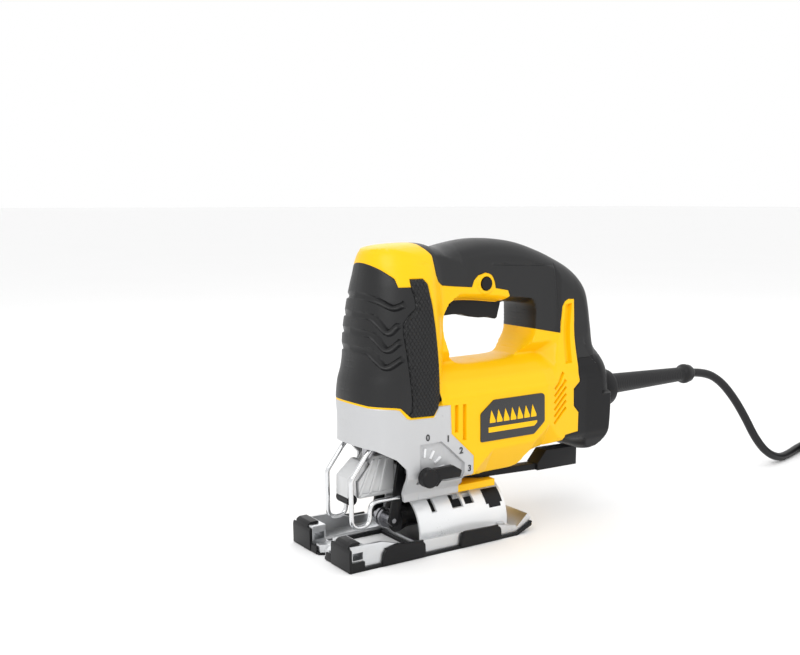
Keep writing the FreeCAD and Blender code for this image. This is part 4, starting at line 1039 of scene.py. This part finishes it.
def make_dial(finish):
    """Figures round the selector and the fan of ticks in its recess."""
    form = Form()
    for figure, (x, z) in zip("0123", ((62.6, 78.4), (78.2, 76.0), (88.6, 66.6), (95.6, 53.4))):
        surface = float(form.width(np.array([(x, z)]))[0])
        text = bpy.data.curves.new("figure", "FONT")
        text.body = figure
        text.size = 6.0 * MM
        text.extrude = 0.3 * MM
        text.offset = 0.16 * MM
        text.align_x = "CENTER"
        text.align_y = "CENTER"
        holder = bpy.data.objects.new("figure", text)
        bpy.context.collection.objects.link(holder)
        bpy.context.view_layer.update()
        mesh = bpy.data.meshes.new_from_object(holder.evaluated_get(bpy.context.evaluated_depsgraph_get()))
        bpy.data.objects.remove(holder)
        mesh.transform(Matrix.Translation(at(x, -surface, z)) @ Matrix.Rotation(math.pi / 2, 4, "X"))
        dress("dial_%s" % figure, mesh, finish["ink"], "housing")
    ticks = []
    hub_x, hub_z = SELECTOR_HUB
    floor = float(form.width(np.array([(70.0, 60.0)]))[0]) - RECESS_DEPTH
    for degrees in (84, 60, 36, 12):
        c, s = math.cos(math.radians(degrees)), math.sin(math.radians(degrees))
        ends = ((TICK_FROM, TICK_HALF), (TICK_FROM, -TICK_HALF), (TICK_TO, -TICK_HALF), (TICK_TO, TICK_HALF))
        outline = [(hub_x + far * c - wide * s, hub_z + far * s + wide * c) for far, wide in ends]
        ticks.append(slab(outline, -floor - 1.2, -floor + 0.8))
    solid("dial_ticks", ticks, finish["white"], "housing", edge=0.25)
    hub = turned([(0.0, 0.0), (0.0, 6.6), (5.4, 6.4), (6.2, 5.6), (6.2, 0.0)],
                 (hub_x + 0.4, -34.6, hub_z - 0.8), (0, -1, 0))
    solid("selector_hub", [hub], finish["black"], "selector")


def make_plug(finish):
    """Moulded plug: ribbed sleeve, waist and ridged grip."""
    profile = [(0.0, 0.0), (0.0, 4.6)]
    for k in range(6):
        s = 1.0 + 3.2 * k
        r = 5.0 + 0.5 * k
        profile += [(s, r), (s + 1.7, r + 0.3), (s + 2.0, r - 0.7), (s + 2.9, r - 0.6)]
    profile += [(20.6, 8.2), (22.0, 9.6), (24.0, 11.6), (27.0, 12.8)]
    for k in range(5):
        s = 29.0 + 3.0 * k
        profile += [(s, 12.9), (s + 0.5, 12.3), (s + 1.5, 12.3), (s + 2.0, 12.9)]
    profile += [(45.0, 13.0), (54.6, 13.0), (55.7, 12.4), (56.0, 11.4), (56.0, 0.0)]
    solid("mains_plug", [turned(profile, coil_points()[-1], (-1, 0, 0))], finish["cord"], "housing", ("plug",))


def make_liner(finish):
    """Soft liner in the front of the grip opening, beside the trigger."""
    outline = rounded([(86.4, 146.6), (88.4, 147.2), (90.2, 153.0), (91.4, 164.6), (87.8, 163.4),
                       (85.6, 156.0)], 0.8)
    solid("opening_liner", [slab(outline, -8.4, 8.4)], finish["black"], "housing", edge=0.6)


def screw_tree(head, recess):
    """Geometry nodes: a head on every point, with a dark cross on its top that stands in as painted shade for a
    cross recess.
    """
    tree = bpy.data.node_groups.new("screw_heads", "GeometryNodeTree")
    for name, kind in (("Places", "Geometry"), ("Head Radius", "Float"), ("Head Height", "Float"),
                       ("Turn", "Vector")):
        tree.interface.new_socket(name=name, in_out="INPUT", socket_type="NodeSocket" + kind)
    tree.interface.new_socket(name="Screws", in_out="OUTPUT", socket_type="NodeSocketGeometry")
    given = tree.nodes.new("NodeGroupInput")

    def put(kind, *joined, **values):
        node = tree.nodes.new(kind)
        for key, value in values.items():
            entry = node.inputs[key.replace("_", " ")]
            if isinstance(value, Flow):
                tree.links.new(value.socket, entry)
            else:
                entry.default_value = value
        for flow in joined:
            tree.links.new(flow.socket, node.inputs[0])
        return Flow(tree, node.outputs[0])

    places, radius, height, turn = (Flow(tree, given.outputs[k]) for k in range(4))
    barrel = put("GeometryNodeMeshCylinder", Vertices=32, Radius=radius, Depth=height)
    crown = put("GeometryNodeMeshCone", Vertices=32, Radius_Bottom=radius, Radius_Top=radius * 0.78,
                Depth=height * 0.22)
    crown = put("GeometryNodeTransform", Geometry=crown,
                Translation=put("ShaderNodeCombineXYZ", Z=height * 0.499))
    shape = put("GeometryNodeJoinGeometry", barrel, crown)
    shape = put("GeometryNodeSetMaterial", Geometry=shape, Material=head)
    arms = []
    for long, wide in ((1.15, 0.26), (0.26, 1.15)):
        size = put("ShaderNodeCombineXYZ", X=radius * long, Y=radius * wide, Z=height * 0.2)
        arm = put("GeometryNodeMeshCube", Size=size)
        arms.append(put("GeometryNodeTransform", Geometry=arm,
                        Translation=put("ShaderNodeCombineXYZ", Z=height * 0.635)))
    # the cross is dark: painted shade for the recess of a cross-head screw
    cross = put("GeometryNodeSetMaterial", Geometry=put("GeometryNodeJoinGeometry", *arms), Material=recess)
    whole = put("GeometryNodeJoinGeometry", shape, cross)
    set_on = put("GeometryNodeInstanceOnPoints", Points=places, Instance=whole)
    tree.links.new(turn.socket, set_on.socket.node.inputs["Rotation"])
    done = put("GeometryNodeRealizeInstances", Geometry=set_on)
    end = tree.nodes.new("NodeGroupOutput")
    tree.links.new(done.socket, end.inputs[0])
    return tree


def make_screws(finish):
    # the second finish colours the crosses on the heads dark, as painted shade for their recesses
    tree = screw_tree(finish["hard"], finish["ink"])
    inputs = {item.name: item.identifier for item in tree.interface.items_tree if item.in_out == "INPUT"}
    places = [(x, seat + 1.0, z) for x, z, seat in SCREWS]
    mesh = bpy.data.meshes.new("screw_places")
    mesh.from_pydata([tuple(q) for q in at_many(places)], [], [])
    holder = bpy.data.objects.new("screw_places", mesh)
    bpy.context.collection.objects.link(holder)
    grown = holder.modifiers.new("screws", "NODES")
    grown.node_group = tree
    grown[inputs["Head Radius"]] = 3.0 * MM
    grown[inputs["Head Height"]] = 1.9 * MM
    grown[inputs["Turn"]] = (-math.pi / 2, 0.0, 0.0)
    bpy.context.view_layer.update()
    made = bpy.data.meshes.new_from_object(holder.evaluated_get(bpy.context.evaluated_depsgraph_get()))
    holder.modifiers.remove(grown)
    bpy.data.objects.remove(holder)
    dress("case_screw_heads", made, finish["hard"], "housing", ("case_screws",))


# ---------------------------------------------------------------------------
# finishes of the pieces that keep their own shape
# ---------------------------------------------------------------------------
KEPT = {
    "black": ("lock_button", "switch_module", "brush_holders", "bearing_bracket", "cord_clamp", "fan"),
    "wire": ("plug_pins",),
    "zinc": ("gear_frame", "counterweight", "clamp_seat"),
    "steel": ("shoe_screws",),
    "hard": ("plunger", "roller", "fork_pins", "drive_gear", "crank_pin", "gear_stud", "armature_shaft",
             "motor_bearings", "clamp_bolt", "clamp_nut", "orbital_cam"),
    "spring": ("clamp_spring", "trigger_spring", "lock_spring"),
    "bronze": ("plunger_bushes",), "copper": ("field_coils", "armature_windings", "commutator"),
    "lamination": ("stator", "armature_core"), "carbon": ("carbon_brushes",),
}


# pieces that are a made part with its edges broken: name, node, finish, body, how far the edges are broken
SOFTENED = (
    ("shoe_sole_plate", "shoe_plate", "steel", "shoe", 0.5),
    ("overshoe", "shoe_cover", "black", "shoe", 0.6),
    ("saddle", "shoe_bracket", "white", "shoe", 0.5),
    ("clamp_block", "blade_clamp", "zinc", "plunger", 0.6),
    ("blade_lever", "clamp_lever", "zinc", "clamp_lever", 0.8),
    ("selector_lever", "orbital_lever", "black", "selector", 0.9),
    ("trigger_blade", "trigger", "black", "trigger", 1.6),
    ("bevel_handle", "bevel_lever", "black", "bevel_lever", 1.0),
    ("roller_arms", "roller_fork", "black", "fork", 0.6),
    ("dust_tube", "chip_tube", "black", "housing", 0.5),
)


def finish_kept(finish):
    for key, names in KEPT.items():
        for name in names:
            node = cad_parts[name]
            node.data.materials.clear()
            node.data.materials.append(finish[key])


# ---------------------------------------------------------------------------
# floor and light
# ---------------------------------------------------------------------------
FLOOR_HALF = 40                 # metres
LAMPS = (("key", (-0.9, -0.9, 1.1), 0.7, 7.0), ("fill", (1.1, -1.2, 0.9), 1.2, 1.5),
         ("top", (0.1, 0.3, 1.5), 1.2, 4.0), ("back", (0.5, 1.3, 0.8), 0.8, 1.5))


def set_stage():
    mesh = bpy.data.meshes.new("floor")
    h = FLOOR_HALF
    mesh.from_pydata([(-h, -h, 0), (h, -h, 0), (h, h, 0), (-h, h, 0)], [], [(0, 1, 2, 3)])
    floor = bpy.data.objects.new("floor", mesh)
    bpy.context.collection.objects.link(floor)
    f = Finish("pale_floor")
    f.set(Base_Color=f.blend(f.noise(3.0), (0.93, 0.93, 0.93), (0.95, 0.95, 0.95)), Roughness=0.7)
    mesh.materials.append(f.material)
    world = bpy.data.worlds.new("studio")
    world.use_nodes = True
    world.node_tree.nodes["Background"].inputs["Color"].default_value = (1.0, 1.0, 1.0, 1.0)
    world.node_tree.nodes["Background"].inputs["Strength"].default_value = 1.0
    bpy.context.scene.world = world
    for name, place, size, power in LAMPS:
        data = bpy.data.lights.new(name, "AREA")
        data.size = size
        data.energy = power
        lamp = bpy.data.objects.new(name, data)
        lamp.location = place
        lamp.rotation_mode = "QUATERNION"
        lamp.rotation_quaternion = (Vector((0, 0, 0.08)) - Vector(place)).to_track_quat("-Z", "Y")
        bpy.context.collection.objects.link(lamp)
    bpy.context.scene.view_settings.view_transform = "Standard"


set_camera()
finish = make_finishes()
make_plug(finish)
make_cord(finish)
make_shells(finish)
make_guard(finish)
make_relief(finish)
make_shoe_details(finish)
make_clamp_details(finish)
make_badges(finish)
make_dial(finish)
make_liner(finish)
make_screws(finish)
for name, node, key, body, edge in SOFTENED:
    softened(name, node, finish[key], body, edge)
softened("cast_foot", "foot", finish["case"], "housing", 0.5, finish["yellow"], 94.3)
finish_kept(finish)
set_stage()
